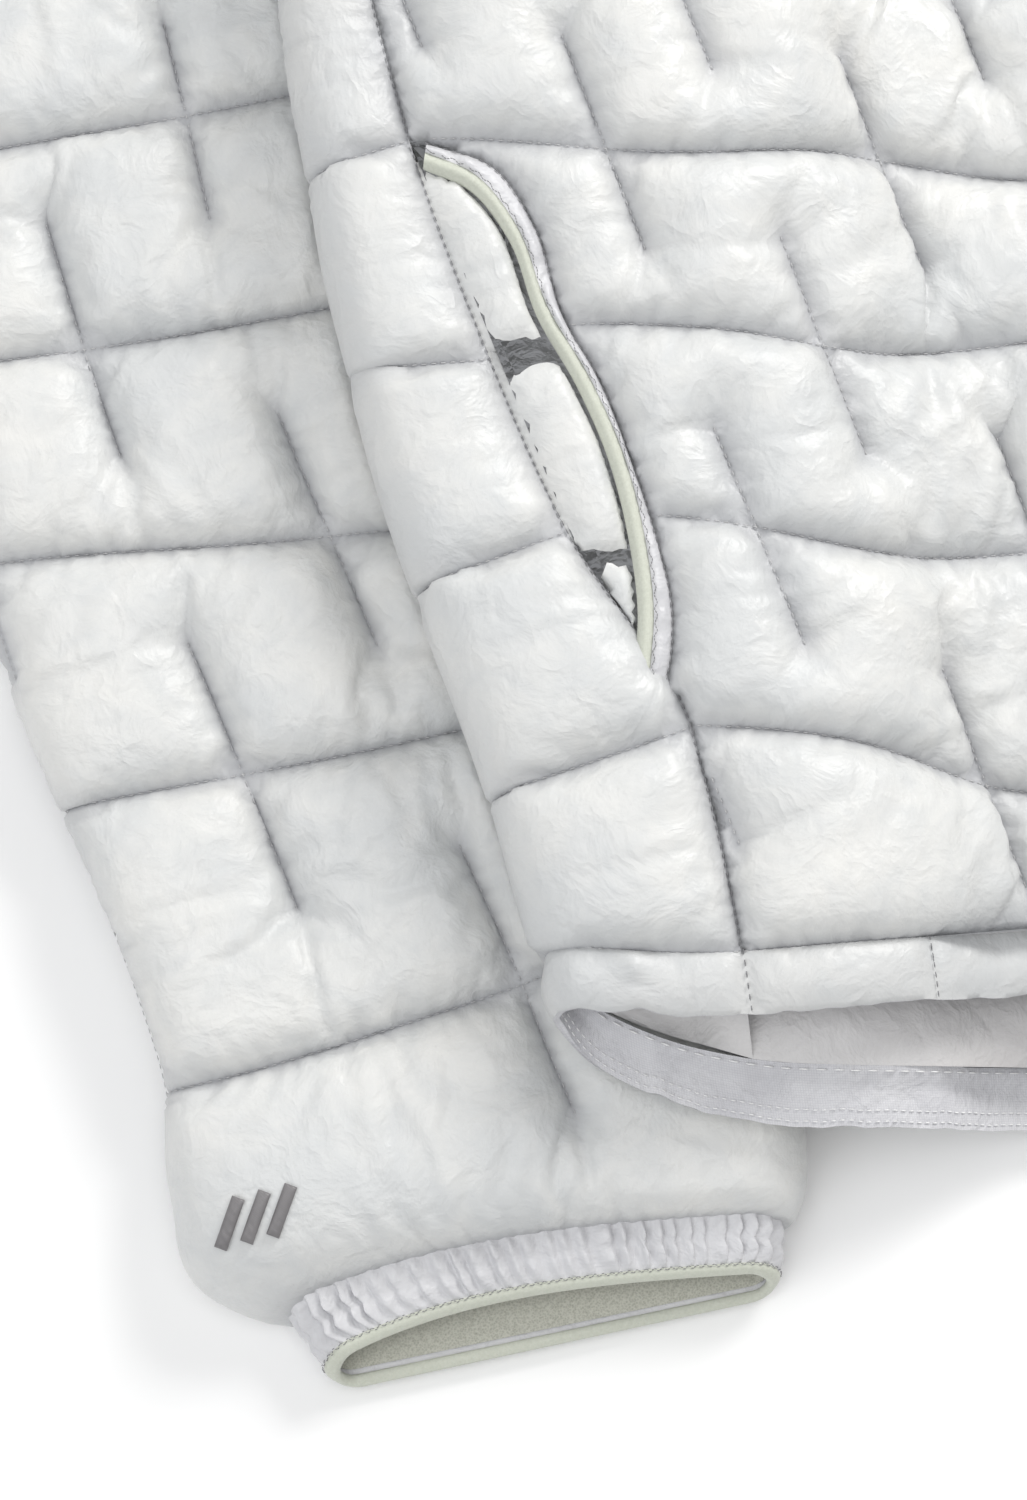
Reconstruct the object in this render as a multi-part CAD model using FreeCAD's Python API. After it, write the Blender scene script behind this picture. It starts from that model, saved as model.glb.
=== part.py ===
"""Quilted down jacket, zipped up and lying flat on its back, with the sleeves drawn in under its sides.

Frame: +X towards the wearer's left, +Y towards the collar, +Z up from the surface that it lies on.
The drawing below has X = 0 on the front zip and Y = 0 at the hem's side corners. Every piece is moved
along Y at the end, so that the origin is the centre of the jacket's base.
Each quilted panel is three pieces: the outer shell, the down between, and the lining.
"""
import FreeCAD, Part

import math
import os

V = FreeCAD.Vector

# ---- driving dimensions, in millimetres -------------------------------------------------------------
WALL = 12.0                 # a quilted body panel, shell to lining
CAVITY = 9.0                # the gap between back and front, where the wearer goes
CLOTH = 0.6                 # shell and lining
RAISE = 28.0                # how far the sleeves lift the body's sides
RAISE_IN, RAISE_OUT = 110.0, 185.0          # where that rise starts and ends, from the zip
HALF_CHEST = 285.0
UNDERARM_Y = 400.0
SHOULDER = (225.0, 600.0)
NECK = (92.0, 640.0)
COLLAR_TALL = 68.0
HEM_TUNNEL = 15.0
ZIP_GAP = 7.0               # from the zip's middle line to each front panel's edge
SLEEVE_WALL = 10.0          # a sleeve's quilted wall, thinner where the sleeve is thinner than 26
SLEEVE_GAP = 6.0            # the least gap left inside a sleeve
CLEAR = 0.3

TOP = 2 * WALL + CAVITY     # the body's height where it lies on the floor
MID = TOP / 2
FRONT_LOW = WALL + CAVITY

# half outlines, as distances from the zip and heights above the hem's corners
SILHOUETTE = [(247, -30), (250, 0), (258, 57), (269.5, 110), (276, 153), (280, 209), (281, 250), (285, 400), (285, 420)]
SIDE_SEAM = [(199, -30), (199, 0), (203, 57), (226, 110), (238, 153), (250, 209), (256, 260), (266, 330), (275, 400)]
FRONT_HEM = [(0, -16), (60, -16), (130, -14), (200, -11), (235, -5), (250, 0)]
BACK_HEM = [(0, -56), (60, -55), (134, -46), (190, -38), (213, -31), (235, -18), (250, 0)]
FRONT_NECK = [(0, 576), (50, 588), (80, 611), (92, 640)]
BACK_NECK = [(0, 628), (60, 632), (92, 640)]
POCKET_EDGE = [(247.4, 203), (237, 196.5), (229, 183), (224.7, 163), (217.4, 144.5), (212.5, 126.5),
               (210.2, 104), (210.7, 87), (213.7, 72.5), (214.5, 68)]
POCKET_STITCH = [(246, 208), (231, 200), (223, 184), (219.5, 162), (212.6, 144), (208, 123.5),
                 (204.7, 103), (203.6, 88), (205.5, 76), (209, 66)]

# sleeve stations from armhole to cuff: outer point, inner point, height of the middle, thickness
SLEEVE = [
    ((225.3, 600.1), (283.8, 404.9), 44.5, 32),
    ((318, 588), (292, 396), 40, 32),
    ((385, 524), (294, 381), 28, 30),
    ((408, 430), (285, 361), 13.8, 26.6),
    ((409, 335), (249, 336), 13, 26),
    ((400, 240), (225, 243), 13, 26),
    ((385, 150), (212, 160), 13, 26),
    ((366, 80), (200, 92), 13, 26),
    ((347, 0), (190, 10), 13, 26),
    ((343, -34), (187.5, -32), 12.5, 25),
    ((337, -52), (191, -49), 11.5, 22),
    ((319, -65), (196, -58), 10, 18),
]
CUFF_END = ((313, -75.5), (198, -68), 9.5, 16)
BINDING_END = ((311, -80), (199, -72), 9.5, 15)

# the zip
TAPE_WIDE, TAPE_THICK, TAPE_IN = 13.0, 0.6, 1.6
COIL_WIDE, COIL_THICK = 2.2, 2.2
ZIP_BOTTOM, ZIP_TOP = -12.0, 636.0
SLIDER_LONG, SLIDER_WIDE, PLATE = 11.0, 8.4, 1.2
PULL_LONG, PULL_WIDE, PULL_THICK = 30.0, 6.5, 1.4
ZIP_Z = FRONT_LOW + WALL / 2

ORIGIN_Y = ((NECK[1] + COLLAR_TALL) + BINDING_END[0][1]) / 2


# ---- shared shapes ------------------------------------------------------------------------------------
def spline(points):
    """An open smooth curve through plan points (x, y)."""
    curve = Part.BSplineCurve()
    curve.interpolate([V(x, y, 0) for x, y in points])
    return curve.toShape()


def line(a, b):
    return Part.LineSegment(V(a[0], a[1], 0), V(b[0], b[1], 0)).toShape()


def right(points):
    """Half-outline points on the wearer's right, where X is negative."""
    return [(-x, y) for x, y in points]


def prism(edges, low=-20.0, high=120.0):
    """A tall block over a closed plan outline."""
    wire = Part.Wire(Part.__sortEdges__(edges))
    face = Part.Face(wire)
    face.translate(V(0, 0, low))
    return face.extrude(V(0, 0, high - low))


def box(x0, x1, y0, y1, z0, z1):
    return Part.makeBox(x1 - x0, y1 - y0, z1 - z0, V(x0, y0, z0))


def mirrored(shape):
    return shape.mirror(V(0, 0, 0), V(1, 0, 0))


def rise_edges(lift):
    """The body's cross-section line: flat in the middle, up over the sleeves, flat at the sides."""
    run = RAISE_OUT - RAISE_IN
    radius = (run ** 2 + RAISE ** 2) / (4 * RAISE)
    half = math.atan2(RAISE, run)
    far = 460.0

    def at(x, z):
        return V(x, 0, z + lift)

    def side(sign):
        low_mid = at(sign * (RAISE_IN + radius * math.sin(half)), radius - radius * math.cos(half))
        high_mid = at(sign * (RAISE_OUT - radius * math.sin(half)), RAISE - radius + radius * math.cos(half))
        middle = at(sign * (RAISE_IN + run / 2), RAISE / 2)
        inner, outer = at(sign * RAISE_IN, 0), at(sign * RAISE_OUT, RAISE)
        return [Part.Arc(inner, low_mid, middle), Part.Arc(middle, high_mid, outer),
                Part.LineSegment(outer, at(sign * far, RAISE))]

    left_run = [c.toShape() for c in side(-1)]
    right_run = [c.toShape() for c in side(1)]
    return left_run + [Part.LineSegment(at(-RAISE_IN, 0), at(RAISE_IN, 0)).toShape()] + right_run


def slab(low, high):
    """The space between two heights above the surface that the body follows."""
    far = 460.0
    ends = [Part.LineSegment(V(s * far, 0, RAISE + low), V(s * far, 0, RAISE + high)).toShape() for s in (-1, 1)]
    wire = Part.Wire(Part.__sortEdges__(rise_edges(low) + rise_edges(high) + ends))
    face = Part.Face(wire)
    face.translate(V(0, -150, 0))
    return face.extrude(V(0, 950, 0))


def layer(outline, low, high):
    return slab(low, high).common(outline)


def shifted(points, dy):
    return [(x, y + dy) for x, y in points]


def at_x(points, x):
    """The height of a half outline at a distance from the zip."""
    for (x0, y0), (x1, y1) in zip(points, points[1:]):
        if x0 <= x <= x1:
            return y0 + (y1 - y0) * (x - x0) / (x1 - x0)
    return points[-1][1]


# ---- body panels --------------------------------------------------------------------------------------
def polygon(points, low=-20.0, high=120.0):
    return prism([line(p, q) for p, q in zip(points, points[1:] + points[:1])], low, high)


def mirrored_run(half):
    """A full curve's points from its half, with the first point on the middle line."""
    return right(list(reversed(half[1:]))) + half


def below(hem, lift, low=-20.0, high=120.0):
    """Everything towards the hem from a hem curve, moved along by a lift."""
    run = shifted(mirrored_run(hem), lift)
    end = run[-1]
    return prism([spline(run), line(end, (400, end[1])), line((400, end[1]), (400, -250)),
                  line((400, -250), (-400, -250)), line((-400, -250), (-400, end[1])), line((-400, end[1]), run[0])],
                 low, high)


def above(neck, lift, low=-20.0, high=120.0):
    """Everything towards the collar from a neck curve, within the neck's width."""
    run = shifted(mirrored_run(neck), lift)
    return prism([spline(run), line(run[-1], (NECK[0], 900)), line((NECK[0], 900), (-NECK[0], 900)),
                  line((-NECK[0], 900), run[0])], low, high)


def outside_seam(gap, low=-20.0, high=120.0):
    """The right side panel's zone: outwards from the side seam, up to the underarm."""
    run = right([(x + gap, y) for x, y in SIDE_SEAM])
    return prism([spline(run), line(run[-1], (-330, 400)), line((-330, 400), (-330, run[0][1])),
                  line((-330, run[0][1]), run[0])], low, high)


def pocket_cut():
    run = right(POCKET_STITCH)
    return prism([spline(run), line(run[-1], (-330, run[-1][1])), line((-330, run[-1][1]), (-330, run[0][1])),
                  line((-330, run[0][1]), run[0])])


def upper_corners(x0):
    """The panel's plain outline towards the armhole, from a distance from the zip."""
    return [(-x0, -100), (-300, -100), (-300, 399.9), (-283.5, 399.9), (-283.5, 405), (-SHOULDER[0], SHOULDER[1]),
            (-NECK[0], NECK[1]), (-x0, NECK[1])]


def front_outline():
    """The right front panel: zip edge, hem stitch line, side seam with the pocket cut out, armhole, neck."""
    outline = polygon(upper_corners(ZIP_GAP))
    for block in (outside_seam(0), below(FRONT_HEM, HEM_TUNNEL), above(FRONT_NECK, 0), pocket_cut()):
        outline = outline.cut(block)
    return outline


def back_outline():
    """The whole back panel, from side seam to side seam."""
    half = upper_corners(0)[1:-1]
    outline = polygon(half + [(-x, y) for x, y in reversed(half)])
    zone = outside_seam(0)
    for block in (zone, mirrored(zone), below(BACK_HEM, HEM_TUNNEL), above(BACK_NECK, 0)):
        outline = outline.cut(block)
    return outline


def bend(inset):
    """The body's rolled side edge: a long D-shaped bar, smaller by an inset."""
    inner_x = 150.0
    low, high = RAISE + inset, RAISE + TOP - inset
    radius = (high - low) / 2
    wires = []
    for x, y in SILHOUETTE:
        cx = x - MID
        tip = V(-(cx + radius), y, RAISE + MID)
        top, bottom = V(-cx, y, high), V(-cx, y, low)
        top_in, bottom_in = V(-inner_x, y, high), V(-inner_x, y, low)
        wires.append(Part.Wire([
            Part.LineSegment(top_in, top).toShape(), Part.Arc(top, tip, bottom).toShape(),
            Part.LineSegment(bottom, bottom_in).toShape(), Part.LineSegment(bottom_in, top_in).toShape(),
        ]))
    return Part.makeLoft(wires, True, False)


def side_limits():
    """Where the right side panel may be: outside its seams, above the hem's stitch lines, below the underarm."""
    middle = RAISE + MID
    top = outside_seam(0.2, middle, 120).cut(below(FRONT_HEM, HEM_TUNNEL, middle, 120))
    bottom = outside_seam(0.2, -20, middle).cut(below(BACK_HEM, HEM_TUNNEL, -20, middle))
    return top.fuse(bottom).removeSplitter()


def quilt(make, name, into):
    """A panel's three pieces from a function of two depths below the outer face."""
    into[name + "_shell"] = make(0, CLOTH)
    into[name + "_down"] = make(CLOTH, WALL - CLOTH)
    into[name + "_lining"] = make(WALL - CLOTH, WALL)


def tape_slot():
    """The slot that the zip's tapes are sewn into, at the panels' front edges."""
    return box(-ZIP_GAP - 9, ZIP_GAP + 9, -60, 800, ZIP_Z - 0.7, ZIP_Z + 0.7)


def add_body(parts):
    front, back = front_outline(), back_outline()

    def front_piece(a, b):
        return layer(front, TOP - b, TOP - a).cut(tape_slot())

    def back_piece(a, b):
        return layer(back, a, b)

    limits = side_limits()

    def side_piece(a, b):
        return bend(a).cut(bend(b)).common(limits)

    quilt(front_piece, "front_right", parts)
    quilt(back_piece, "back", parts)
    quilt(side_piece, "side_right", parts)
    down, low, high = parts["side_right_down"], RAISE + WALL, RAISE + FRONT_LOW
    parts["side_right_down"] = Part.makeCompound([
        solid for z0, z1 in ((0, low), (low, high), (high, 120))
        for solid in down.common(box(-400, 0, -400, 800, z0, z1)).Solids])
    for kind in ("_shell", "_down", "_lining"):
        parts["front_left" + kind] = mirrored(parts["front_right" + kind])
        parts["side_left" + kind] = mirrored(parts["side_right" + kind])


# ---- hem ----------------------------------------------------------------------------------------------
def strip(hem, low, high, x0, x1):
    """The strip along a hem between two distances above its edge, on the wearer's right."""
    return below(hem, high).cut(below(hem, low)).common(box(-x1, -x0, -200, 200, -20, 120))


def hem_band(hem, low, high, x0, x1):
    """A sewn tunnel: a flat tube, open at both ends."""
    wall = 0.8
    outer = layer(strip(hem, 0, HEM_TUNNEL - CLEAR, x0, x1), low, high)
    inner = layer(strip(hem, 1.2, HEM_TUNNEL - 1.6, x0 - 2, x1 + 2), low + wall, high - wall)
    return outer.cut(inner).cut(tape_slot())


def hem_elastic(hem, middle, x0, x1):
    return layer(strip(hem, 5, 9, x0, x1), middle - 0.8, middle + 0.8)


def add_hem(parts):
    front_mid, back_mid, half = TOP - WALL / 2, 4.0, 4.0
    end = 244.0
    parts["hem_band_right"] = hem_band(FRONT_HEM, front_mid - half, front_mid + half, ZIP_GAP, end)
    parts["hem_band_left"] = mirrored(parts["hem_band_right"])
    half_elastic = hem_elastic(FRONT_HEM, front_mid, ZIP_GAP + 10, end - 2)
    parts["hem_elastic_front"] = Part.makeCompound([half_elastic, mirrored(half_elastic)])
    parts["hem_band_back"] = hem_band(BACK_HEM, back_mid - half, back_mid + half, -end, end)
    parts["hem_elastic_back"] = hem_elastic(BACK_HEM, back_mid, 2 - end, end - 2)


# ---- sleeves ------------------------------------------------------------------------------------------
def section(station, inset):
    """A flattened sleeve's upright section: straight top and bottom with round ends."""
    (ox, oy), (ix, iy), middle, thick = station
    a, b = V(-ox, oy, middle), V(-ix, iy, middle)
    along = (b - a).normalize()
    radius = thick / 2 - inset
    up = V(0, 0, radius)
    ca, cb = a + along * (thick / 2), b - along * (thick / 2)
    return Part.Wire([
        Part.LineSegment(ca + up, cb + up).toShape(),
        Part.Arc(cb + up, cb + along * radius, cb - up).toShape(),
        Part.LineSegment(cb - up, ca - up).toShape(),
        Part.Arc(ca - up, ca - along * radius, ca + up).toShape(),
    ])


def eased(stations, steps=3):
    """More stations between the given ones, on a smooth run through them."""
    flat = [[*s[0], *s[1], s[2] - s[3] / 2, s[3]] for s in stations]
    knots = [0.0]
    for a, b in zip(flat, flat[1:]):
        knots.append(knots[-1] + math.hypot((b[0] + b[2] - a[0] - a[2]) / 2, (b[1] + b[3] - a[1] - a[3]) / 2))

    def slope(i, k):
        lo, hi = max(i - 1, 0), min(i + 1, len(flat) - 1)
        rise = (flat[hi][k] - flat[lo][k]) / (knots[hi] - knots[lo])
        if k < 4 or lo == i or hi == i:
            return rise
        before = (flat[i][k] - flat[lo][k]) / (knots[i] - knots[lo])
        after = (flat[hi][k] - flat[i][k]) / (knots[hi] - knots[i])
        return 0.0 if before * after <= 0 else 2 * before * after / (before + after)

    out = []
    for i in range(len(flat) - 1):
        h = knots[i + 1] - knots[i]
        for n in range(steps if h > 30 else 1):
            t = n / steps
            row = []
            for k in range(6):
                p, q, m0, m1 = flat[i][k], flat[i + 1][k], slope(i, k) * h, slope(i + 1, k) * h
                row.append((2 * t ** 3 - 3 * t ** 2 + 1) * p + (t ** 3 - 2 * t ** 2 + t) * m0
                           + (3 * t ** 2 - 2 * t ** 3) * q + (t ** 3 - t ** 2) * m1)
            out.append(row)
    out.append(flat[-1])
    return [((r[0], r[1]), (r[2], r[3]), r[4] + r[5] / 2, r[5]) for r in out]


def hollow(stations, outer, inner):
    """A sleeve layer: the space between two depths below the sleeve's surface, cut square at both ends."""
    around = [section(s, outer(s[3])) for s in stations]
    within = [section(s, inner(s[3])) for s in stations]
    faces = list(Part.makeLoft(around, False, True).Faces)
    faces += [f.reversed() for f in Part.makeLoft(within, False, True).Faces]
    for end in (0, -1):
        faces += Part.makeFace([around[end], within[end]], "Part::FaceMakerBullseye").Faces
    shell = Part.Shell(faces)
    shell.sewShape()
    solid = Part.Solid(shell)
    if solid.Volume < 0:
        solid.reverse()
    return solid


def sleeve_wall(thick):
    return min(SLEEVE_WALL, (thick - SLEEVE_GAP) / 2)


def bars(stations, outer, inner, gap=0.02):
    """A sleeve layer as four long pieces that don't quite touch: top, underside and the two folded edges."""
    rows = {"top": [], "under": [], "outer": [], "inner": []}
    for s in stations:
        (ox, oy), (ix, iy), middle, thick = s
        a, b = V(-ox, oy, middle), V(-ix, iy, middle)
        along = (b - a).normalize()
        far, near = thick / 2 - outer(thick), thick / 2 - inner(thick)
        ca, cb = a + along * (thick / 2), b - along * (thick / 2)
        for name, sign in (("top", 1), ("under", -1)):
            hi, lo = V(0, 0, far * sign), V(0, 0, near * sign)
            corners = [ca + along * gap + hi, cb - along * gap + hi, cb - along * gap + lo, ca + along * gap + lo]
            rows[name].append(Part.makePolygon(corners + corners[:1]))
        for name, centre, way in (("outer", ca, -1), ("inner", cb, 1)):
            up, tip = V(0, 0, 1), along * way
            rows[name].append(Part.Wire([
                Part.Arc(centre + up * far, centre + tip * far, centre - up * far).toShape(),
                Part.LineSegment(centre - up * far, centre - up * near).toShape(),
                Part.Arc(centre - up * near, centre + tip * near, centre + up * near).toShape(),
                Part.LineSegment(centre + up * near, centre + up * far).toShape(),
            ]))
    return Part.makeCompound([Part.makeLoft(wires, True, True) for wires in rows.values()])


def add_sleeves(parts):
    run = eased(SLEEVE)
    gap = 0.02
    parts["sleeve_right_shell"] = hollow(run, lambda t: 0.0, lambda t: CLOTH)
    parts["sleeve_right_down"] = bars(run, lambda t: CLOTH + gap, lambda t: sleeve_wall(t) - CLOTH - gap)
    parts["sleeve_right_lining"] = hollow(run, lambda t: sleeve_wall(t) - CLOTH, sleeve_wall)
    for kind in ("_shell", "_down", "_lining"):
        parts["sleeve_left" + kind] = mirrored(parts["sleeve_right" + kind])
    parts["sleeve_mark_right"] = sleeve_mark()


def sleeve_mark():
    """Three plain slanted bars of satin stitch, on the right sleeve near the cuff."""
    bar_long, bar_wide, pitch = 13.0, 3.2, 6.5
    run = eased(SLEEVE)[-9:]
    over = Part.makeLoft([section(q, -0.5) for q in run], True, True)
    under = Part.makeLoft([section(q, -0.02) for q in run], True, True)
    bars = []
    for k in range(3):
        bar = box(-bar_long / 2, bar_long / 2, -bar_wide / 2, bar_wide / 2, 16, 60)
        bar.rotate(V(0, 0, 0), V(0, 0, 1), 62)
        bar.translate(V(-329 + pitch * k, -42 + 0.6 * k, 0))
        bars += bar.common(over).cut(under).Solids
    return Part.makeCompound(bars)


def add_cuffs(parts):
    def ring(stations, outer, inner):
        return hollow(stations, lambda t: outer, lambda t: inner)

    band, edge = [SLEEVE[-1], CUFF_END], [CUFF_END, BINDING_END]
    parts["cuff_band_right"] = ring(band, 0, 1.5)
    parts["cuff_elastic_right"] = ring(band, 1.5, 2.5)
    parts["cuff_facing_right"] = ring(band, 2.5, 3.3)
    parts["cuff_binding_right"] = ring(edge, 0, 2.6)
    for kind in ("band", "elastic", "facing", "binding"):
        parts[f"cuff_{kind}_left"] = mirrored(parts[f"cuff_{kind}_right"])


# ---- pockets ------------------------------------------------------------------------------------------
def add_pockets(parts):
    edge, stitch = right(POCKET_EDGE), right(POCKET_STITCH)
    piping = [(x + (-3.0 if 0 < i < len(edge) - 1 else 0), y) for i, (x, y) in enumerate(edge)]
    mid = TOP - WALL / 2
    seam = outside_seam(0.2)
    binding = prism([spline(edge), spline(piping)]).cut(seam)
    inner_edge = [(x + 0.2, y) for x, y in edge]
    inner_stitch = [(x - 0.3, y) for x, y in stitch]
    welt = prism([spline(inner_edge), spline(inner_stitch), line(inner_edge[0], inner_stitch[0]),
                  line(inner_edge[-1], inner_stitch[-1])]).cut(seam)
    parts["pocket_binding_right"] = layer(binding, mid - 2.0, mid + 2.0)
    parts["pocket_welt_right"] = layer(welt, mid - 3.5, mid + 2.5)
    bag = [(-262, 222), (-150, 214), (-118, 160), (-116, 70), (-150, 30), (-232, 34)]
    centre = [sum(p[i] for p in bag) / len(bag) for i in (0, 1)]
    inside = [tuple(c + (v - c) * 0.98 for v, c in zip(p, centre)) for p in bag]
    low, high, wall = FRONT_LOW - 4.0, FRONT_LOW - CLEAR, 0.8
    mouth = polygon([(-262, 200), (-240, 200), (-224, 165), (-210, 120), (-210, 70), (-228, 70)]).cut(seam)
    parts["pocket_bag_right"] = layer(polygon(bag), low, high).cut(
        layer(polygon(inside), low + wall, high - wall)).cut(layer(mouth, low + wall, high + 1))
    for kind in ("binding", "welt", "bag"):
        parts[f"pocket_{kind}_left"] = mirrored(parts[f"pocket_{kind}_right"])


# ---- collar -------------------------------------------------------------------------------------------
def collar_volume(inset):
    """The collar filled in: front half above, back half below, narrower by an inset."""
    half = NECK[0] - inset
    front = above(FRONT_NECK, 0.2).cut(above(FRONT_NECK, COLLAR_TALL))
    back = above(BACK_NECK, 0.2).cut(above(BACK_NECK, COLLAR_TALL))
    upper = front.common(box(-half, half, 500, 800, MID, TOP - inset))
    lower = back.common(box(-half, half, 500, 800, inset, MID))
    return upper.fuse(lower)


def add_collar(parts):
    zip_gap = box(-ZIP_GAP, ZIP_GAP, 500, 800, MID, TOP + 5)
    depths = {"shell": (0, CLOTH), "down": (CLOTH, WALL - CLOTH), "lining": (WALL - CLOTH, WALL)}
    for kind, (outer, inner) in depths.items():
        piece = collar_volume(outer).cut(collar_volume(inner)).cut(zip_gap).cut(tape_slot())
        parts["collar_" + kind] = piece


# ---- zip ----------------------------------------------------------------------------------------------
def slider(top_y):
    """Two plates with turned-in flanges, the wedge between them at the nose, and the loop for the pull."""
    y0, y1 = top_y - SLIDER_LONG, top_y
    gap = COIL_THICK / 2 + CLEAR
    half = SLIDER_WIDE / 2
    flange = 1.0
    solids = []
    for s in (-1, 1):
        plate_low = ZIP_Z + gap if s > 0 else ZIP_Z - gap - PLATE
        plate = box(-half, half, y0, y1, plate_low, plate_low + PLATE)
        lip_low = ZIP_Z + 0.6 if s > 0 else ZIP_Z - gap - PLATE
        lip_high = ZIP_Z + gap + PLATE if s > 0 else ZIP_Z - 0.6
        lips = [box(x, x + flange, y0, y1 - 3, lip_low, lip_high) for x in (-half, half - flange)]
        solids += [plate] + lips
    wedge = prism([line((-1.3, y1), (1.3, y1)), line((1.3, y1), (0.3, y1 - 3.2)),
                   line((0.3, y1 - 3.2), (-0.3, y1 - 3.2)), line((-0.3, y1 - 3.2), (-1.3, y1))],
                  ZIP_Z - gap, ZIP_Z + gap)
    deck = ZIP_Z + gap + PLATE
    loop = box(-1.1, 1.1, y0 + 1.5, y1 - 1.5, deck, deck + 3.4).cut(
        box(-2, 2, y0 + 2.6, y1 - 2.6, deck, deck + 2.3))
    body = solids[0].multiFuse(solids[1:] + [wedge, loop]).removeSplitter()
    return body, deck, (y0 + y1) / 2


def pull(deck, pin_y):
    """A flat tab whose eye turns on the slider's loop, lying towards the hem."""
    z0 = deck + 0.35
    tab = box(-PULL_WIDE / 2, PULL_WIDE / 2, pin_y - PULL_LONG, pin_y + 2.0, z0, z0 + PULL_THICK)
    eye = box(-1.5, 1.5, pin_y - 4.0, pin_y + 3.0, z0 - 1, z0 + PULL_THICK + 1)
    bar = Part.makeCylinder(0.55, 4.0, V(-2.0, pin_y + 1.45, z0 + PULL_THICK / 2), V(1, 0, 0))
    body = tab.cut(eye).fuse(bar)
    edges = [e for e in body.Edges if abs(e.tangentAt(e.FirstParameter).z) > 0.9
             and e.CenterOfMass.y < pin_y - PULL_LONG + 1]
    return body.makeFillet(2.6, edges)


def add_zip(parts):
    coil_top = ZIP_TOP - 4.0
    for side, s in (("right", -1), ("left", 1)):
        x0 = min(s * TAPE_IN, s * (TAPE_IN + TAPE_WIDE))
        tape = box(x0, x0 + TAPE_WIDE, ZIP_BOTTOM, ZIP_TOP + 6, ZIP_Z - TAPE_THICK / 2, ZIP_Z + TAPE_THICK / 2)
        x1 = min(s * 0.1, s * (0.1 + COIL_WIDE))
        rail = box(x1, x1 + COIL_WIDE, ZIP_BOTTOM + 8, coil_top, ZIP_Z - COIL_THICK / 2, ZIP_Z + COIL_THICK / 2)
        inside = box(x0 - 0.1, x0 + TAPE_WIDE + 0.1, ZIP_BOTTOM, ZIP_TOP + 6,
                     ZIP_Z - TAPE_THICK / 2 - 0.05, ZIP_Z + TAPE_THICK / 2 + 0.05)
        parts["zip_tape_" + side] = tape
        parts["zip_coil_" + side] = rail.cut(inside)
    parts["zip_slider"], deck, pin_y = slider(coil_top + 3.4)
    parts["zip_pull"] = pull(deck, pin_y - 1.0)
    stops = [box(min(s * 0.4, s * 3.4), max(s * 0.4, s * 3.4), coil_top + 3.8, coil_top + 6.4,
                 ZIP_Z + 0.35, ZIP_Z + 1.3) for s in (-1, 1)]
    parts["zip_top_stops"] = Part.makeCompound(stops)
    low = ZIP_BOTTOM
    retainer = box(-0.3, 4.6, low, low + 7.6, ZIP_Z - 1.9, ZIP_Z + 1.9).cut(
        box(-0.4, 5, low - 1, low + 8, ZIP_Z - 0.35, ZIP_Z + 0.35))
    parts["zip_box"] = retainer
    pin = box(-2.6, -0.6, low, low + 7.8, ZIP_Z - 1.1, ZIP_Z + 1.1).cut(
        box(-5, 0, low - 1, low + 9, ZIP_Z - 0.35, ZIP_Z + 0.35))
    parts["zip_pin"] = pin
    parts["zip_draft_flap"] = box(-16, 14, 2, 570, FRONT_LOW - 1.9, FRONT_LOW - 0.5)
    parts["zip_chin_guard"] = box(-14, 12, FRONT_NECK[0][1] + 3, ZIP_TOP + 6, FRONT_LOW - 1.9, FRONT_LOW - 0.5)


# ---- loops and labels -----------------------------------------------------------------------------------
def add_trim(parts):
    y = BACK_NECK[0][1] + 16
    z = WALL + 0.2
    outer = Part.makeCylinder(26, 1.0, V(0, y, z))
    inner = Part.makeCylinder(21.5, 2.0, V(0, y, z - 0.5))
    parts["hanger_loop"] = outer.cut(inner).common(box(-40, 40, y - 40, y, z - 1, z + 3))
    parts["neck_label"] = box(-22, 22, y + 14, y + 34, z, z + 0.6)
    tape = polygon([(-SHOULDER[0], SHOULDER[1]), (-NECK[0], NECK[1]), (-NECK[0] - 2, NECK[1] - 7),
                    (-SHOULDER[0] + 2, SHOULDER[1] - 7)])
    one = layer(tape, WALL, FRONT_LOW)
    parts["shoulder_tapes"] = Part.makeCompound([one, mirrored(one)])
    parts["care_label"] = box(228, 258, 232, 282, RAISE + WALL + 0.4, RAISE + WALL + 1.0)


# ---- all of it ------------------------------------------------------------------------------------------
def build():
    parts = {}
    add_body(parts)
    add_hem(parts)
    add_sleeves(parts)
    add_cuffs(parts)
    add_pockets(parts)
    add_collar(parts)
    add_zip(parts)
    add_trim(parts)
    return parts


def main():
    os.makedirs("parts", exist_ok=True)
    for name, shape in build().items():
        shape.translate(V(0, -ORIGIN_Y, 0))
        solids = shape.Solids
        if not solids or not all(s.isValid() for s in solids):
            print("CHECK", name, len(solids), [s.isValid() for s in solids])
        keep = solids[0] if len(solids) == 1 else Part.makeCompound(solids)
        keep.exportStep(os.path.join("parts", name + ".step"))
        b = keep.BoundBox
        print(f"{name:22s} {len(solids)} {keep.Volume / 1000:9.2f} cm3  x {b.XMin:.1f} {b.XMax:.1f}"
              f"  y {b.YMin:.1f} {b.YMax:.1f}  z {b.ZMin:.2f} {b.ZMax:.2f}")


main()
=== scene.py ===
"""Looks of a quilted down jacket that lies zipped up on its back, with its sleeves drawn in under its sides.

The drawing is in millimetres, with X = 0 on the zip, Y = 0 at the hem's side corners and the wearer's right at
negative X. Every mesh is moved by MIDDLE_Y and scaled to metres when it is made.
"""

import math

import bmesh
import bpy
import numpy as np
from mathutils import Matrix, Vector
from mathutils.geometry import delaunay_2d_cdt
from mathutils.kdtree import KDTree


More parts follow.
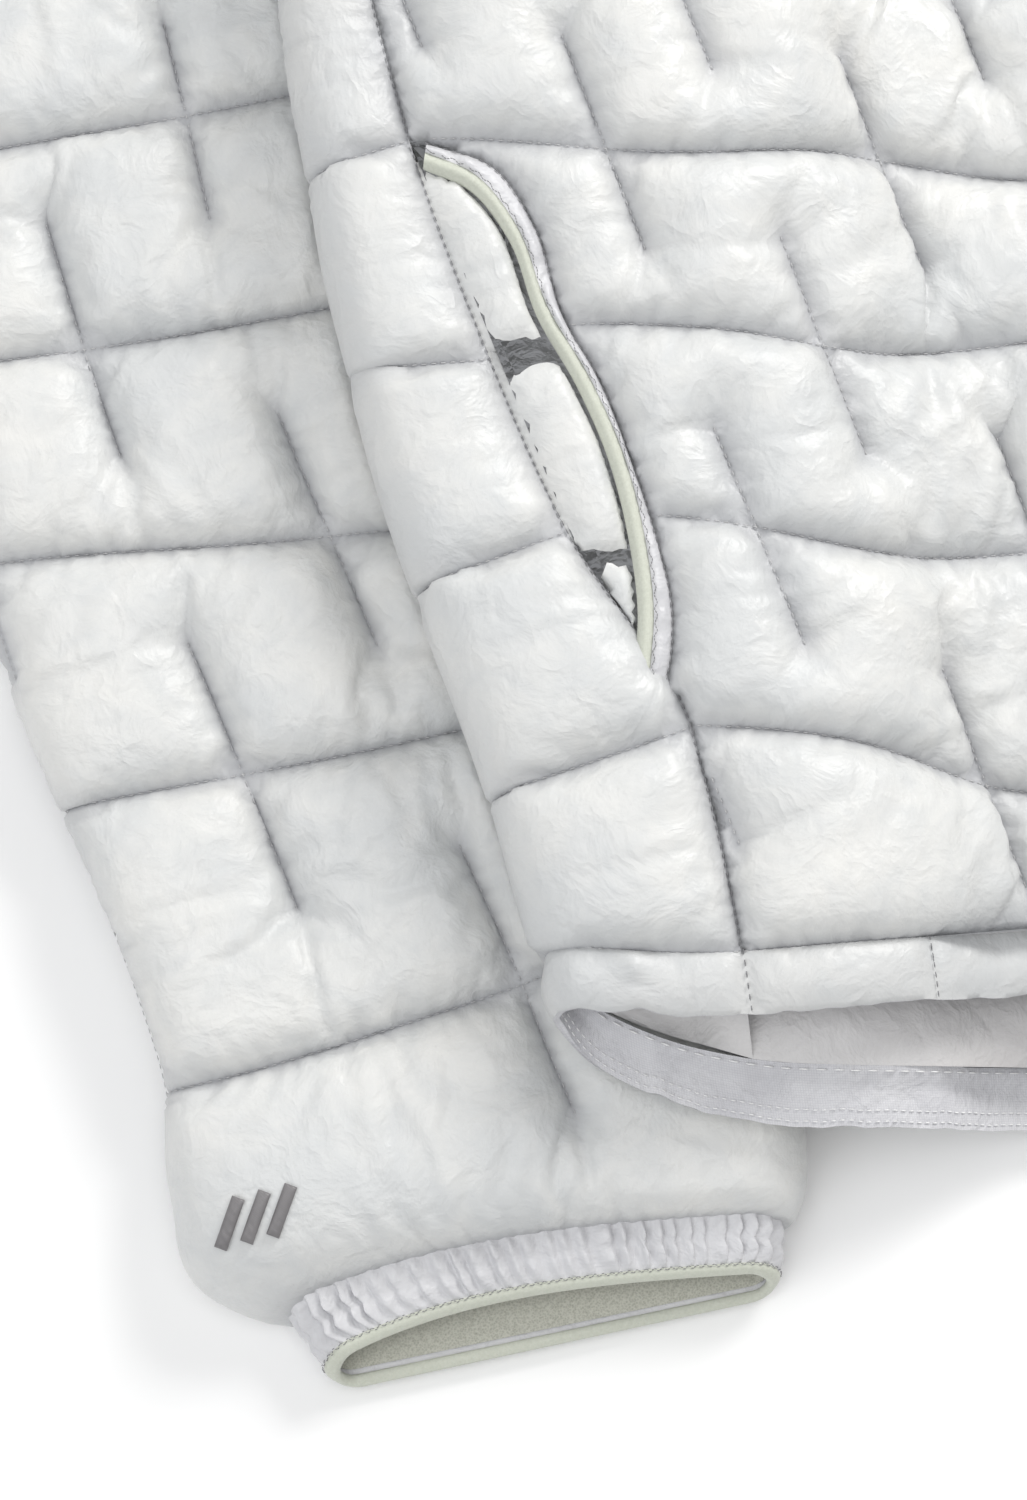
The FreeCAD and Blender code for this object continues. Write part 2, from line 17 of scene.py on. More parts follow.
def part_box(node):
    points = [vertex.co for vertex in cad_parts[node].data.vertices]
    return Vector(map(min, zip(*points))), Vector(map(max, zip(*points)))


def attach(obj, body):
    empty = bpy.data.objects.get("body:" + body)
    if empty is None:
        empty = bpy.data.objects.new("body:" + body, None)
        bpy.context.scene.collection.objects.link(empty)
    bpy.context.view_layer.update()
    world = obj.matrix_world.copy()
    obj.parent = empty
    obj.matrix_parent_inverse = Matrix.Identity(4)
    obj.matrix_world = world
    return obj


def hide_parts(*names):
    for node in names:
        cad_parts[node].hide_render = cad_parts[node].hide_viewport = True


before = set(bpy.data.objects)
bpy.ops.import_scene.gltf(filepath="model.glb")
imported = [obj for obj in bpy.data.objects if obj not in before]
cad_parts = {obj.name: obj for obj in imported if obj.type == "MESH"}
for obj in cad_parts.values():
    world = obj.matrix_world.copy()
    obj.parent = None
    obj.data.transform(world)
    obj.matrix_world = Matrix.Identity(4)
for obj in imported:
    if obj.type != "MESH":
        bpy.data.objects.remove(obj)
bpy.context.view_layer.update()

# ---- the jacket's drawing ------------------------------------------------------------------------------
MIDDLE_Y = 314.0
RAISE = 28.0                        # how far the sleeves lift the body's sides
RAISE_IN, RAISE_OUT = 110.0, 185.0  # where that starts and ends, from the zip
FRONT_Z, BACK_Z = 26.5, 5.5         # heights of the front's and the back's quilting lines
FRONT_IN, BACK_IN = 22.0, 9.8       # and of their linings
BODY_MID = (FRONT_Z + BACK_Z) / 2
BEND = (FRONT_Z - BACK_Z) / 2       # roundness of the side edge at the quilting lines
HALF_THICK = 16.5
TUNNEL = 15.0
PITCH = 49.0
ZIP_GAP = 7.0
COLLAR_TALL = 68.0
COLLAR_HALF = 92.0
THREAD_RISE = 0.55                  # how far a row of stitches stands out of its quilting line
FLOOR_GAP = 0.3                     # how far cloth stays above the floor
SLEEVE_REACH, SLEEVE_ROOF = 190.0, 28.4     # past this distance from the zip, the body stays above this height
UNDER_BODY, BODY_TOP_ROW = 27.2, 395.0      # under the body a sleeve stays below this height, up to this row
CLOTH_GAP = 2.2                     # usual length of an edge in the cloth's mesh

SILHOUETTE = np.array([(244, -60), (250, 0), (258, 57), (269.5, 110), (276, 153), (280, 209), (281, 250),
                       (285, 400), (285, 420)], float)
SIDE_SEAM = np.array([(199, -60), (199, 0), (203, 57), (226, 110), (238, 153), (250, 209), (256, 260), (266, 330),
                      (275, 400), (276, 420)], float)
FRONT_HEM = np.array([(0, -16), (60, -16), (130, -14), (200, -11), (235, -5), (250, 0)], float)
BACK_HEM = np.array([(0, -56), (60, -55), (134, -46), (190, -38), (213, -31), (235, -18), (250, 0)], float)
FRONT_NECK = np.array([(0, 576), (50, 588), (80, 611), (92, 640)], float)
BACK_NECK = np.array([(0, 628), (60, 632), (92, 640)], float)
ARMPIT, SHOULDER, NECK = (283.5, 405.0), (225.0, 600.0), (92.0, 640.0)
POCKET_EDGE = np.array([(247.4, 203), (237, 196.5), (229, 183), (224.7, 163), (217.4, 144.5), (212.5, 126.5),
                        (210.2, 104), (210.7, 87), (213.7, 72.5), (214.5, 68)], float)
POCKET_STITCH = np.array([(246, 208), (231, 200), (223, 184), (219.5, 162), (212.6, 144), (208, 123.5),
                          (204.7, 103), (203.6, 88), (205.5, 76), (209, 66)], float)
SLEEVE = [
    ((225.3, 600.1), (283.8, 404.9), 44.5, 32), ((318, 588), (292, 396), 40, 32), ((385, 524), (294, 381), 28, 30),
    ((408, 430), (285, 361), 13.8, 26.6), ((409, 335), (249, 336), 13, 26), ((400, 240), (225, 243), 13, 26),
    ((385, 150), (212, 160), 13, 26), ((366, 80), (200, 92), 13, 26), ((347, 0), (190, 10), 13, 26),
    ((343, -34), (187.5, -32), 12.5, 25), ((337, -52), (191, -49), 11.5, 22), ((319, -65), (196, -58), 10, 18),
    ((313, -75.5), (198, -68), 9.5, 16), ((311, -80), (199, -72), 9.5, 15),
]
AROUND = 360.0                      # a sleeve's drawing is this wide, whatever its real girth

# quilting lines placed one by one: right front, then side from its front seam to its back seam, then right sleeve
FRONT_ROWS = [
    [(-260, 210), (-250, 209.5), (-180, 197), (-139, 195), (-101, 186), (0, 183)],
    [(-230, 160), (-213, 159), (-189, 155), (-151, 146), (-107, 145), (0, 139)],
    [(-230, 114), (-203, 110), (-145, 94.5), (-114, 93), (0, 88)],
    [(-220, 61), (-202, 58.6), (-164, 50), (-129, 36), (0, 33)],
]
SIDE_ROWS = [(209.5, 204.7, 200.0), (153.5, 155.5, 152.0), (109.5, 100.5, 97.0), (58.6, 48.5, 42.0)]
SLEEVE_ROWS = [((-345, -9), (-187, 17)), ((-361, 63.5), (-203, 74)), ((-372, 126), (-210, 121)),
               ((-387, 176), (-214, 182)), ((-392, 229), (-222, 237)), ((-402, 285), (-229, 290))]
SLEEVE_TACKS = [
    ((-306.5, 255.5), (-301.7, 205.5)), ((-255, 262), (-249, 212)), ((-341.8, 208.7), (-331.3, 149.3)),
    ((-262, 205), (-254, 152)), ((-291.2, 153.6), (-275, 93.5)), ((-372, 155), (-364, 98)),
    ((-320.5, 99.8), (-302.9, 32)), ((-241, 98), (-230, 45)), ((-261.5, 41), (-243, -29.3)),
    ((-351.5, 31.5), (-344.9, -8.9)), ((-368, 262), (-362, 212)),
]


def ease(t):
    """0 to 1 with flat ends."""
    t = np.clip(t, 0, 1)
    return t * t * t * (t * (6 * t - 15) + 10)


def step_between(u, h, a, b, slope_a, slope_b):
    """From a to b as u goes from 0 to 1 over a length h, with a given slope at each end."""
    return ((2 * u ** 3 - 3 * u ** 2 + 1) * a + (u ** 3 - 2 * u ** 2 + u) * h * slope_a
            + (3 * u ** 2 - 2 * u ** 3) * b + (u ** 3 - u ** 2) * h * slope_b)


def smooth_run(t, knots, values):
    """Values on a smooth run through knots, which never overshoots them."""
    knots, values = np.asarray(knots, float), np.asarray(values, float)
    t = np.clip(np.asarray(t, float), knots[0], knots[-1])
    step = np.diff(knots)
    rise = np.diff(values) / step
    slope = np.zeros(len(knots))
    slope[0], slope[-1] = rise[0], rise[-1]
    both, total = rise[:-1] * rise[1:], rise[:-1] + rise[1:]
    slope[1:-1] = np.where(both > 0, 2 * both / np.where(total == 0, 1, total), 0)
    i = np.clip(np.searchsorted(knots, t, side="right") - 1, 0, len(step) - 1)
    h = step[i]
    u = (t - knots[i]) / h
    return step_between(u, h, values[i], values[i + 1], slope[i], slope[i + 1])


def y_on(run, x):
    """A run's height at a distance from the zip."""
    return smooth_run(np.abs(x), run[:, 0], run[:, 1])


def x_on(run, y):
    """A run's distance from the zip at a height."""
    return smooth_run(y, run[:, 1], run[:, 0])


def edge_x(y):
    """The pocket mouth's distance from the zip at a height."""
    return smooth_run(y, POCKET_EDGE[::-1, 1], POCKET_EDGE[::-1, 0])


def lift(x):
    """The body is flat in the middle and lies on the sleeves at its sides: two arcs between them."""
    run = RAISE_OUT - RAISE_IN
    radius = (run ** 2 + RAISE ** 2) / (4 * RAISE)
    t = np.clip(np.abs(x) - RAISE_IN, 0, run)
    low = radius - np.sqrt(radius ** 2 - np.minimum(t, run / 2) ** 2)
    high = radius - np.sqrt(radius ** 2 - np.minimum(run - t, run / 2) ** 2)
    return np.where(t < run / 2, low, RAISE - high)


def settle(x, y):
    """Slow unevenness of cloth that has been laid down by hand."""
    return 0.9 * np.sin(x * 0.031 + 1.3) * np.sin(y * 0.027 + 0.4) + 0.6 * np.sin(x * 0.011 - y * 0.049 + 2.1)


def at_shoulder(x, y):
    """1 over the body and 0 on the shoulder seam, where front and back come together."""
    ax, ay = SHOULDER
    bx, by = NECK
    long = math.hypot(bx - ax, by - ay)
    gap = ((np.abs(x) - ax) * (by - ay) - (y - ay) * (bx - ax)) / long
    near = np.clip(1 - np.abs(gap) / 12.0, 0, 1)
    return np.sqrt(np.clip(1 - near ** 2, 0, 1))


def body_z(x, y, level):
    """Height of the body's layer whose flat part is at a level."""
    half = level - BODY_MID
    start = x_on(SILHOUETTE, y) - HALF_THICK
    over = np.clip((np.abs(x) - start) / abs(half), 0, 0.97)
    return lift(x) + settle(x, y) + BODY_MID + half * np.sqrt(1 - over ** 2) * at_shoulder(x, y)


# ---- cutting, sewing and filling -------------------------------------------------------------------------
def even(line, gap):
    """A line's points at an even spacing."""
    line = np.asarray(line, float)
    walk = np.r_[0, np.cumsum(np.linalg.norm(np.diff(line, axis=0), axis=1))]
    t = np.linspace(0, walk[-1], max(2, int(round(walk[-1] / gap)) + 1))
    return np.column_stack([np.interp(t, walk, line[:, k]) for k in range(line.shape[1])])


def bend_through(points, steps=8):
    """A smooth plan line through points."""
    points = np.asarray(points, float)
    walk = np.r_[0, np.cumsum(np.linalg.norm(np.diff(points, axis=0), axis=1))]
    slopes = np.gradient(points, walk, axis=0)
    out = []
    for i in range(len(points) - 1):
        h = walk[i + 1] - walk[i]
        for u in np.arange(steps) / steps:
            out.append(step_between(u, h, points[i], points[i + 1], slopes[i], slopes[i + 1]))
    return np.array(out + [points[-1]])


def closed(*runs, gap=CLOTH_GAP):
    """An even loop of border points from runs that follow each other."""
    out = [even(run, gap)[:-1] for run in runs]
    return np.vstack(out)


def tree_of(points):
    """A search tree over plan points."""
    tree = KDTree(len(points))
    for i, p in enumerate(points):
        tree.insert((p[0], p[1], 0.0), i)
    tree.balance()
    return tree


def near(tree, points):
    """Each point's distance to the tree's nearest."""
    return np.array([tree.find((p[0], p[1], 0.0))[2] for p in points])


def within(points, border):
    """Which points are inside a closed border."""
    x, y = points[:, :1], points[:, 1:2]
    a, b = border, np.roll(border, -1, axis=0)
    hit = ((a[:, 1] > y) != (b[:, 1] > y)) & (
        x < (b[:, 0] - a[:, 0]) * (y - a[:, 1]) / np.where(b[:, 1] == a[:, 1], 1e-9, b[:, 1] - a[:, 1]) + a[:, 0])
    return hit.sum(axis=1) % 2 == 1


def trimmed(lines, border, margin=1.6, least=8.0):
    """The parts of sewing lines that are on a panel, stopped just short of its border."""
    tree, out = tree_of(border), []
    for line in lines:
        points = even(line, 1.0)
        good = within(points, border) & (near(tree, points) > margin)
        start = None
        for i in range(len(points) + 1):
            if i < len(points) and good[i]:
                start = i if start is None else start
            elif start is not None:
                if i - start > least:
                    out.append(points[start:i])
                start = None
    return out


def cut_cloth(border, lines, gap):
    """Flat triangles inside a border, with edges along it and along each sewing line."""
    sewn_lines = [even(line, gap) for line in lines]
    sewn = np.vstack([border] + sewn_lines)
    low, high = border.min(axis=0), border.max(axis=0)
    loose = []
    for r, y in enumerate(np.arange(low[1] + gap * 0.4, high[1], gap * 0.866)):
        xs = np.arange(low[0] + (gap / 2 if r % 2 else 0), high[0], gap)
        loose.append(np.c_[xs, np.full(len(xs), y)])
    loose = np.vstack(loose)
    loose = loose[within(loose, border)]
    loose = loose[near(tree_of(sewn), loose) > 0.7 * gap]
    count = len(border)
    edges = [(i, (i + 1) % count) for i in range(count)]
    start = count
    for line in sewn_lines:
        edges += [(start + i, start + i + 1) for i in range(len(line) - 1)]
        start += len(line)
    points = [Vector(p) for p in np.vstack([sewn, loose]).tolist()]
    flat, _, faces, origins, _, _ = delaunay_2d_cdt(points, edges, [list(range(count))], 1, 1e-5, True)
    held = np.array([not o or min(o) < len(sewn) for o in origins])
    rim = np.zeros(count, int)
    for i, sources in enumerate(origins):
        for s in sources:
            if s < count:
                rim[s] = i
    return np.array([(p.x, p.y) for p in flat]), np.array(faces), held, rim


def normals_of(points, faces):
    """Each point's way out, as the mean of its triangles' normals."""
    cross = np.cross(points[faces[:, 1]] - points[faces[:, 0]], points[faces[:, 2]] - points[faces[:, 0]])
    total = np.zeros_like(points)
    for k in range(3):
        np.add.at(total, faces[:, k], cross)
    return total / np.maximum(np.linalg.norm(total, axis=1, keepdims=True), 1e-9)


def fill_with_down(base, faces, held, outward, seed, grow=0.14, press=0.01, bend=0.015, full=9.5, cap=13.0,
                   rounds=200):
    """Down pushes roomy cloth out between its seams: the cloth keeps its length, so it puckers where it is sewn.

    grow is how much longer the cloth is than its place, press the push of the down, bend the cloth's stiffness,
    full the height in millimetres at which the push is spent, and cap the most it may rise."""
    edges = np.vstack([faces[:, [0, 1]], faces[:, [1, 2]], faces[:, [2, 0]]])
    edges.sort(axis=1)
    edges = np.unique(edges, axis=0)
    i, j = edges[:, 0], edges[:, 1]
    ends = np.r_[i, j]
    order = np.argsort(ends, kind="stable")
    starts = np.searchsorted(ends[order], np.arange(len(base)))
    sign = np.r_[np.ones(len(i)), -np.ones(len(i))][order][:, None].astype(np.float32)
    which = np.r_[np.arange(len(i)), np.arange(len(i))][order]
    other = np.r_[j, i][order]
    count = np.bincount(ends, minlength=len(base)).astype(np.float32)[:, None]
    start = base.astype(np.float32)
    out = outward.astype(np.float32)
    free = (~held).astype(np.float32)[:, None]
    rest = (np.linalg.norm(base[i] - base[j], axis=1) * (1 + grow)).astype(np.float32)
    chance = np.random.default_rng(seed)
    now = start + out * (chance.random((len(base), 1)).astype(np.float32) - 0.5) * 0.6 * free
    speed = np.zeros_like(now)
    for _ in range(rounds):
        height = ((now - start) * out).sum(axis=1, keepdims=True)
        speed = (speed * 0.9 + out * press * (1 - height / full)) * free
        new = now + speed
        for _ in range(2):
            gap = new[i] - new[j]
            long = np.sqrt((gap * gap).sum(axis=1))
            pull = gap * ((long - rest) / np.maximum(long, 1e-6) * 0.5)[:, None]
            new = new - np.add.reduceat(pull[which] * sign, starts, axis=0) / count * 1.7 * free
        moved = new - start
        new = new + bend * (np.add.reduceat(moved[other], starts, axis=0) / count - moved) * free
        height = ((new - start) * out).sum(axis=1, keepdims=True)
        new = new + out * (np.clip(height, -0.3, cap) - height)
        speed, now = new - now, new
    moved = now - start
    mean = np.add.reduceat(moved[other], starts, axis=0) / count
    return (start + moved + 0.5 * (mean - moved) * free).astype(float)


WELD = 0.02                         # points nearer to each other than this become one
SHARP = 66.0                        # degrees: a sharper edge than this stays an edge


def make_mesh(name, points, faces, drawing=None, fill=None, kinds=None):
    """A mesh in metres from drawing millimetres; kinds are each face's material number."""
    mesh = bpy.data.meshes.new(name)
    places = (np.asarray(points, float) - (0, MIDDLE_Y, 0)) * 0.001
    mesh.from_pydata(places.tolist(), [], faces)
    if fill is not None:
        mesh.attributes.new("fill", "FLOAT", "POINT").data.foreach_set("value", np.asarray(fill, np.float32))
    if kinds is not None:
        mesh.polygons.foreach_set("material_index", np.asarray(kinds, np.int32))
    if drawing is not None:
        corners = np.empty(len(mesh.loops), np.int32)
        mesh.loops.foreach_get("vertex_index", corners)
        layer = mesh.uv_layers.new(name="cloth")
        layer.data.foreach_set("uv", (np.asarray(drawing, float)[corners] * 0.001).astype(np.float32).ravel())
    shape = bmesh.new()
    shape.from_mesh(mesh)
    bmesh.ops.remove_doubles(shape, verts=shape.verts, dist=WELD * 0.001)
    bmesh.ops.dissolve_degenerate(shape, dist=1e-6, edges=shape.edges)
    bmesh.ops.recalc_face_normals(shape, faces=shape.faces)
    shape.to_mesh(mesh)
    shape.free()
    mesh.shade_smooth()
    mesh.set_sharp_from_angle(angle=math.radians(SHARP))
    return mesh


def piece(name, mesh, materials, replaces=()):
    """An object of the jacket's own body, with its finishes and the CAD nodes that it stands for."""
    made = bpy.data.objects.new(name, mesh)
    bpy.context.scene.collection.objects.link(made)
    for material in materials:
        mesh.materials.append(material)
    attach(made, "jacket")
    if replaces:
        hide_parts(*replaces)
    return made


def mirrored(points):
    """The same points on the other side of the zip."""
    return np.asarray(points, float) * (-1, 1, 1)


LINING_COARSER = 2.6                # how much longer the lining's edges are than the outside's
LINING_PUFF, LINING_RUN = 2.2, 6.0  # how far the lining swells, and over what distance from its seams
FULL_HEIGHT = 9.0                   # rise at which a chamber counts as full of down, with no painted seam shade left in its colour
LINING_FILL = 0.25


def quilted(border, lines, outer, inner, gap=CLOTH_GAP, seed=1, limit=None, **pad):
    """A panel's outer skin filled with down, its plain inner skin, and the edge they share.

    Returns points, faces, drawing coordinates, fill, and each face's kind (0 outside, 1 inside)."""
    flat, faces, held, rim = cut_cloth(border, lines, gap)
    base = outer(flat)
    outward = normals_of(base, faces)
    if (outward * (base - inner(flat))).sum() < 0:
        outward, faces = -outward, faces[:, ::-1]
    skin = fill_with_down(base, faces, held, outward, seed, **pad)
    height = ((skin - base) * outward).sum(axis=1)
    if limit is not None:
        skin = limit(skin)
    in_flat, in_faces, in_held, in_rim = cut_cloth(border, lines, gap * LINING_COARSER)
    in_base = inner(in_flat)
    inward = normals_of(in_base, in_faces)
    if (inward * (in_base - outer(in_flat))).sum() < 0:
        inward = -inward
    sewn = in_flat[in_held]
    puff = LINING_PUFF * (1 - np.exp(-near(tree_of(sewn), in_flat) / LINING_RUN))
    lining = in_base + inward * puff[:, None]
    n, k = len(skin), len(border)
    every = [tuple(f) for f in faces.tolist()] + [(a + n, b + n, c + n) for a, b, c in in_faces.tolist()]
    kinds = [0] * len(faces) + [1] * len(in_faces)
    for i in range(k):
        j = (i + 1) % k
        every.append((int(rim[i]), int(rim[j]), int(in_rim[j]) + n, int(in_rim[i]) + n))
        kinds.append(1)
    # the fill follows the puff's height, so it also sets the painted shade of the seam valleys in the cloth's colour
    fill = np.r_[np.clip(height / FULL_HEIGHT, 0, 1), np.full(len(lining), LINING_FILL)]
    return np.vstack([skin, lining]), every, np.vstack([flat, in_flat]), fill, kinds


def both_sides(name, made, materials):
    """A padded right piece and its mirror image on the left, which stand for the CAD's shell, down and lining."""
    points, faces, drawing, fill, kinds = made
    for side, place in (("right", points), ("left", mirrored(points))):
        mesh = make_mesh(f"{name}_{side}", place, faces, drawing, fill, kinds)
        piece(f"{name}_{side}", mesh, materials,
              [f"{name}_{side}_{layer}" for layer in ("shell", "down", "lining")])


# ---- body panels -----------------------------------------------------------------------------------------
# the run of a front row above the pocket: distance from the zip, and height over the row's end at the seam
ROW_SHAPE = [(300, 0.5), (250, 0), (180, -12.5), (139, -14.5), (101, -23), (0, -26.5)]
ROW_ENDS = (209.5, 204.7, 200.0)    # the row at the pocket's top: at the front seam, the edge and the back seam
TACK_EVERY, TACK_SHIFT = 69.0, 12.0     # between tacks along a row, and from one row to the next
TACK_HALF, TACK_LEAN = 27.0, 6.5        # a tack's half height, and how far each end leans
SIDE_LINING = 4.2                   # from the side panel's outside to its lining
HEM_SEAM = 199.0                    # where the side seams meet the hem


def front_rows():
    """The right front's quilting rows from the neck down."""
    rows = [np.array(row, float) for row in FRONT_ROWS]
    for k in range(1, 9):
        rows.insert(0, np.array([(-x, ROW_ENDS[0] + PITCH * k + dy) for x, dy in ROW_SHAPE]))
    return [bend_through(row) for row in rows]


def tacks(rows, numbers, middle=-156.0):
    """Short upright sewing lines, centred on the rows and staggered from one row to the next."""
    out = []
    for row, i in zip(rows, numbers):
        for j in range(-9, 9):
            x = middle - TACK_SHIFT * i + (TACK_EVERY / 2 if i % 2 else 0) + TACK_EVERY * j
            along = row[np.argsort(row[:, 0])]
            if not along[0, 0] <= x <= along[-1, 0]:
                continue
            y = np.interp(x, along[:, 0], along[:, 1])
            wobble = 2.0 * math.sin(i * 2.1 + j * 3.7)
            out.append(np.array([(x - TACK_LEAN + wobble * 0.4, y + TACK_HALF + wobble),
                                 (x + TACK_LEAN, y - TACK_HALF + wobble)]))
    return out


def front_border():
    """The right front's outline: side seam, pocket's mouth, hem, zip, neck, shoulder and armhole."""
    seam = SIDE_SEAM[::-1]
    above = bend_through(seam[seam[:, 1] > 208.5] * (-1, 1))
    above = np.vstack([[-275.0, 400.0], above[above[:, 1] < 399], [-249.6, 208.0]])
    mouth = bend_through(POCKET_STITCH * (-1, 1))
    low_y = y_on(FRONT_HEM, 200) + TUNNEL
    below = np.array([(-float(x_on(SIDE_SEAM, y)), y) for y in np.linspace(66, float(low_y), 12)])
    hem_x = np.linspace(-below[-1, 0], ZIP_GAP, 40)
    hem = np.c_[-hem_x, y_on(FRONT_HEM, hem_x) + TUNNEL]
    neck_x = np.linspace(ZIP_GAP, NECK[0], 24)
    neck = np.c_[-neck_x, y_on(FRONT_NECK, neck_x)]
    zip_edge = np.array([hem[-1], neck[0]])
    armhole = np.array([(-SHOULDER[0], SHOULDER[1]), (-ARMPIT[0], ARMPIT[1]), (-275.0, 400.0)])
    shoulder = np.array([neck[-1], (-SHOULDER[0], SHOULDER[1])])
    return closed(above, [above[-1], mouth[0]], mouth, [mouth[-1], below[0]], below, hem, zip_edge, neck, shoulder,
                  armhole)


def body_skin(level):
    """The body's layer at a level, as a place for each point of the drawing."""
    return lambda flat: np.c_[flat, body_z(flat[:, 0], flat[:, 1], level)]


def side_path(y):
    """The side panel's cross-section at a height, which is flat, then a half turn, then flat again.

    Returns where its seam is, where its turn starts, the flat part's width, and how much of the turn is cut off."""
    seam, start = x_on(SIDE_SEAM, y), x_on(SILHOUETTE, y) - HALF_THICK
    flat = np.maximum(start - seam, 0)
    lost = np.arcsin(np.clip((seam - start) / BEND, 0, 0.95))
    return seam, start, flat, lost


def side_width(y):
    """The side panel's width along its cross-section at a height."""
    _, _, flat, lost = side_path(y)
    return 2 * flat + BEND * (math.pi - 2 * lost)


def side_skin(depth):
    """The right side panel: across its drawing runs the girth from the front seam round to the back seam."""
    def place(flat):
        y = flat[:, 1]
        seam, start, run, lost = side_path(y)
        width = side_width(y)
        s = np.clip(flat[:, 0], 0, width)
        r = BEND - depth
        turn = lost + (s - run) / BEND
        on_top, on_back = s < run, s > width - run
        x = np.where(on_top, seam + s, np.where(on_back, seam + (width - s), start + r * np.sin(turn)))
        z = np.where(on_top, r, np.where(on_back, -r, r * np.cos(turn)))
        return np.c_[-x, y, lift(x) + settle(-x, y) + BODY_MID + z]
    return place


def hem_line(s, width):
    """Where the side panel meets the hem, along its drawing's width."""
    t = s / width
    seam, start, run, lost = side_path(0.0)
    r = BEND
    turn = lost + (s - run) / r
    x = np.where(s < run, seam + s, np.where(s > width - run, seam + width - s, start + r * np.sin(turn)))
    w = ease((t - 0.3) / 0.4)
    return (1 - w) * y_on(FRONT_HEM, x) + w * y_on(BACK_HEM, x) + TUNNEL


def side_border():
    """The side panel's outline in its own drawing, whose width runs along the cross-section."""
    width0 = float(side_width(0.0))
    s = np.linspace(0, width0, 40)
    low = np.c_[s, hem_line(s, width0)]
    ys = np.linspace(low[-1, 1], 400, 60)
    back = np.c_[side_width(ys), ys]
    top = np.array([back[-1], (0, 400)])
    front = np.array([(0, 400), (0, low[0, 1])])
    return closed(low, back, top, front)


def side_rows():
    """The side panel's quilting rows from the underarm down, each level with its front row."""
    rows = []
    heights = [tuple(end + PITCH * k for end in ROW_ENDS) for k in range(4, 0, -1)] + SIDE_ROWS
    for front, edge, back in heights:
        w = float(side_width(edge))
        rows.append(bend_through([(-1, front), (w * 0.25, front * 0.45 + edge * 0.55), (w * 0.5, edge),
                                  (w * 0.75, edge * 0.5 + back * 0.5), (w + 1, back)]))
    return rows


def back_border():
    """The back's outline: hem, right side, armhole, neck, and the same back down the left."""
    ys = np.linspace(y_on(BACK_HEM, HEM_SEAM) + TUNNEL, 400, 60)
    side = np.c_[x_on(SIDE_SEAM, ys), ys]
    xs = np.linspace(-HEM_SEAM, HEM_SEAM, 90)
    hem = np.c_[xs, y_on(BACK_HEM, xs) + TUNNEL]
    armhole = np.array([side[-1], ARMPIT, SHOULDER])
    neck_x = np.linspace(NECK[0], -NECK[0], 40)
    neck = np.c_[neck_x, y_on(BACK_NECK, neck_x)]
    flip = (-1, 1)
    return closed(hem, side, armhole, [SHOULDER, neck[0]], neck, [neck[-1], np.multiply(SHOULDER, flip)],
                  (armhole * flip)[::-1], (side * flip)[::-1])


def back_rows():
    """The back's quilting rows, which sag a little in the middle."""
    rows = []
    for k in range(-2, 9):
        seam_y = 200 + PITCH * k if k >= 0 else (152, 97)[-k - 1]
        rows.append(seam_y)
    rows = sorted(rows + [42.0, -4.0], reverse=True)
    return [bend_through([(x, y - 9 * (1 - (x / 285) ** 2)) for x in (-300, -150, 0, 150, 300)]) for y in rows]


def over_sleeve(points):
    """Cloth stops where it meets the floor, and the body stops above the sleeves."""
    low = np.where(np.abs(points[:, 0]) > SLEEVE_REACH, SLEEVE_ROOF, FLOOR_GAP)
    return np.c_[points[:, :2], np.maximum(points[:, 2], low)]


def make_body(cloth, inside, threads):
    """Fronts, side panels and back, and where their quilting stitches run."""
    rows = front_rows()
    border = front_border()
    lines = trimmed(rows + tacks(rows, range(12, 0, -1)), border)
    made = quilted(border, lines, body_skin(FRONT_Z), body_skin(FRONT_IN), seed=11)
    both_sides("front", made, [cloth, inside])
    threads["front"] = [body_skin(FRONT_Z + THREAD_RISE)(line) for line in lines]

    border = side_border()
    lines = trimmed(side_rows(), border)
    made = quilted(border, lines, side_skin(0), side_skin(SIDE_LINING), seed=12, limit=over_sleeve)
    both_sides("side", made, [cloth, inside])
    threads["side"] = [side_skin(-THREAD_RISE)(line) for line in lines]

    rows = back_rows()
    border = back_border()
    lines = trimmed(rows + tacks(rows, range(len(rows), 0, -1), middle=0.0), border)
    points, faces, drawing, fill, kinds = quilted(border, lines, body_skin(BACK_Z), body_skin(BACK_IN), gap=3.0,
                                                  seed=13, limit=over_sleeve, full=6.0, cap=8.0)
    mesh = make_mesh("back", points, faces, drawing, fill, kinds)
    piece("back", mesh, [cloth, inside], ["back_shell", "back_down", "back_lining"])
    threads["back"] = [body_skin(BACK_Z - 0.3)(line) for line in lines]


# ---- sleeves ---------------------------------------------------------------------------------------------
def sleeve_stations():
    """The sleeve's sections on a smooth run, against the way along it.

    A section is its outer x and y, its inner x and y, its bottom and its thickness."""
    flat = np.array([[*a, *b, mid - thick / 2, thick] for a, b, mid, thick in SLEEVE], float)
    centre = (flat[:, 0:2] + flat[:, 2:4]) / 2
    knots = np.r_[0, np.cumsum(np.linalg.norm(np.diff(centre, axis=0), axis=1))]
    slopes = np.gradient(flat, knots, axis=0)
    way = np.linspace(0, knots[-1], 700)
    i = np.clip(np.searchsorted(knots, way, side="right") - 1, 0, len(knots) - 2)
    h = (knots[i + 1] - knots[i])[:, None]
    u = ((way - knots[i])[:, None]) / h
    table = step_between(u, h, flat[i], flat[i + 1], slopes[i], slopes[i + 1])
    for k in (4, 5):
        table[:, k] = smooth_run(way, knots, flat[:, k])
    return way, table, knots


WAY, STATIONS, KNOTS = sleeve_stations()
CUFF_AT, BAND_END, EDGE_AT = KNOTS[-3], KNOTS[-2], KNOTS[-1]
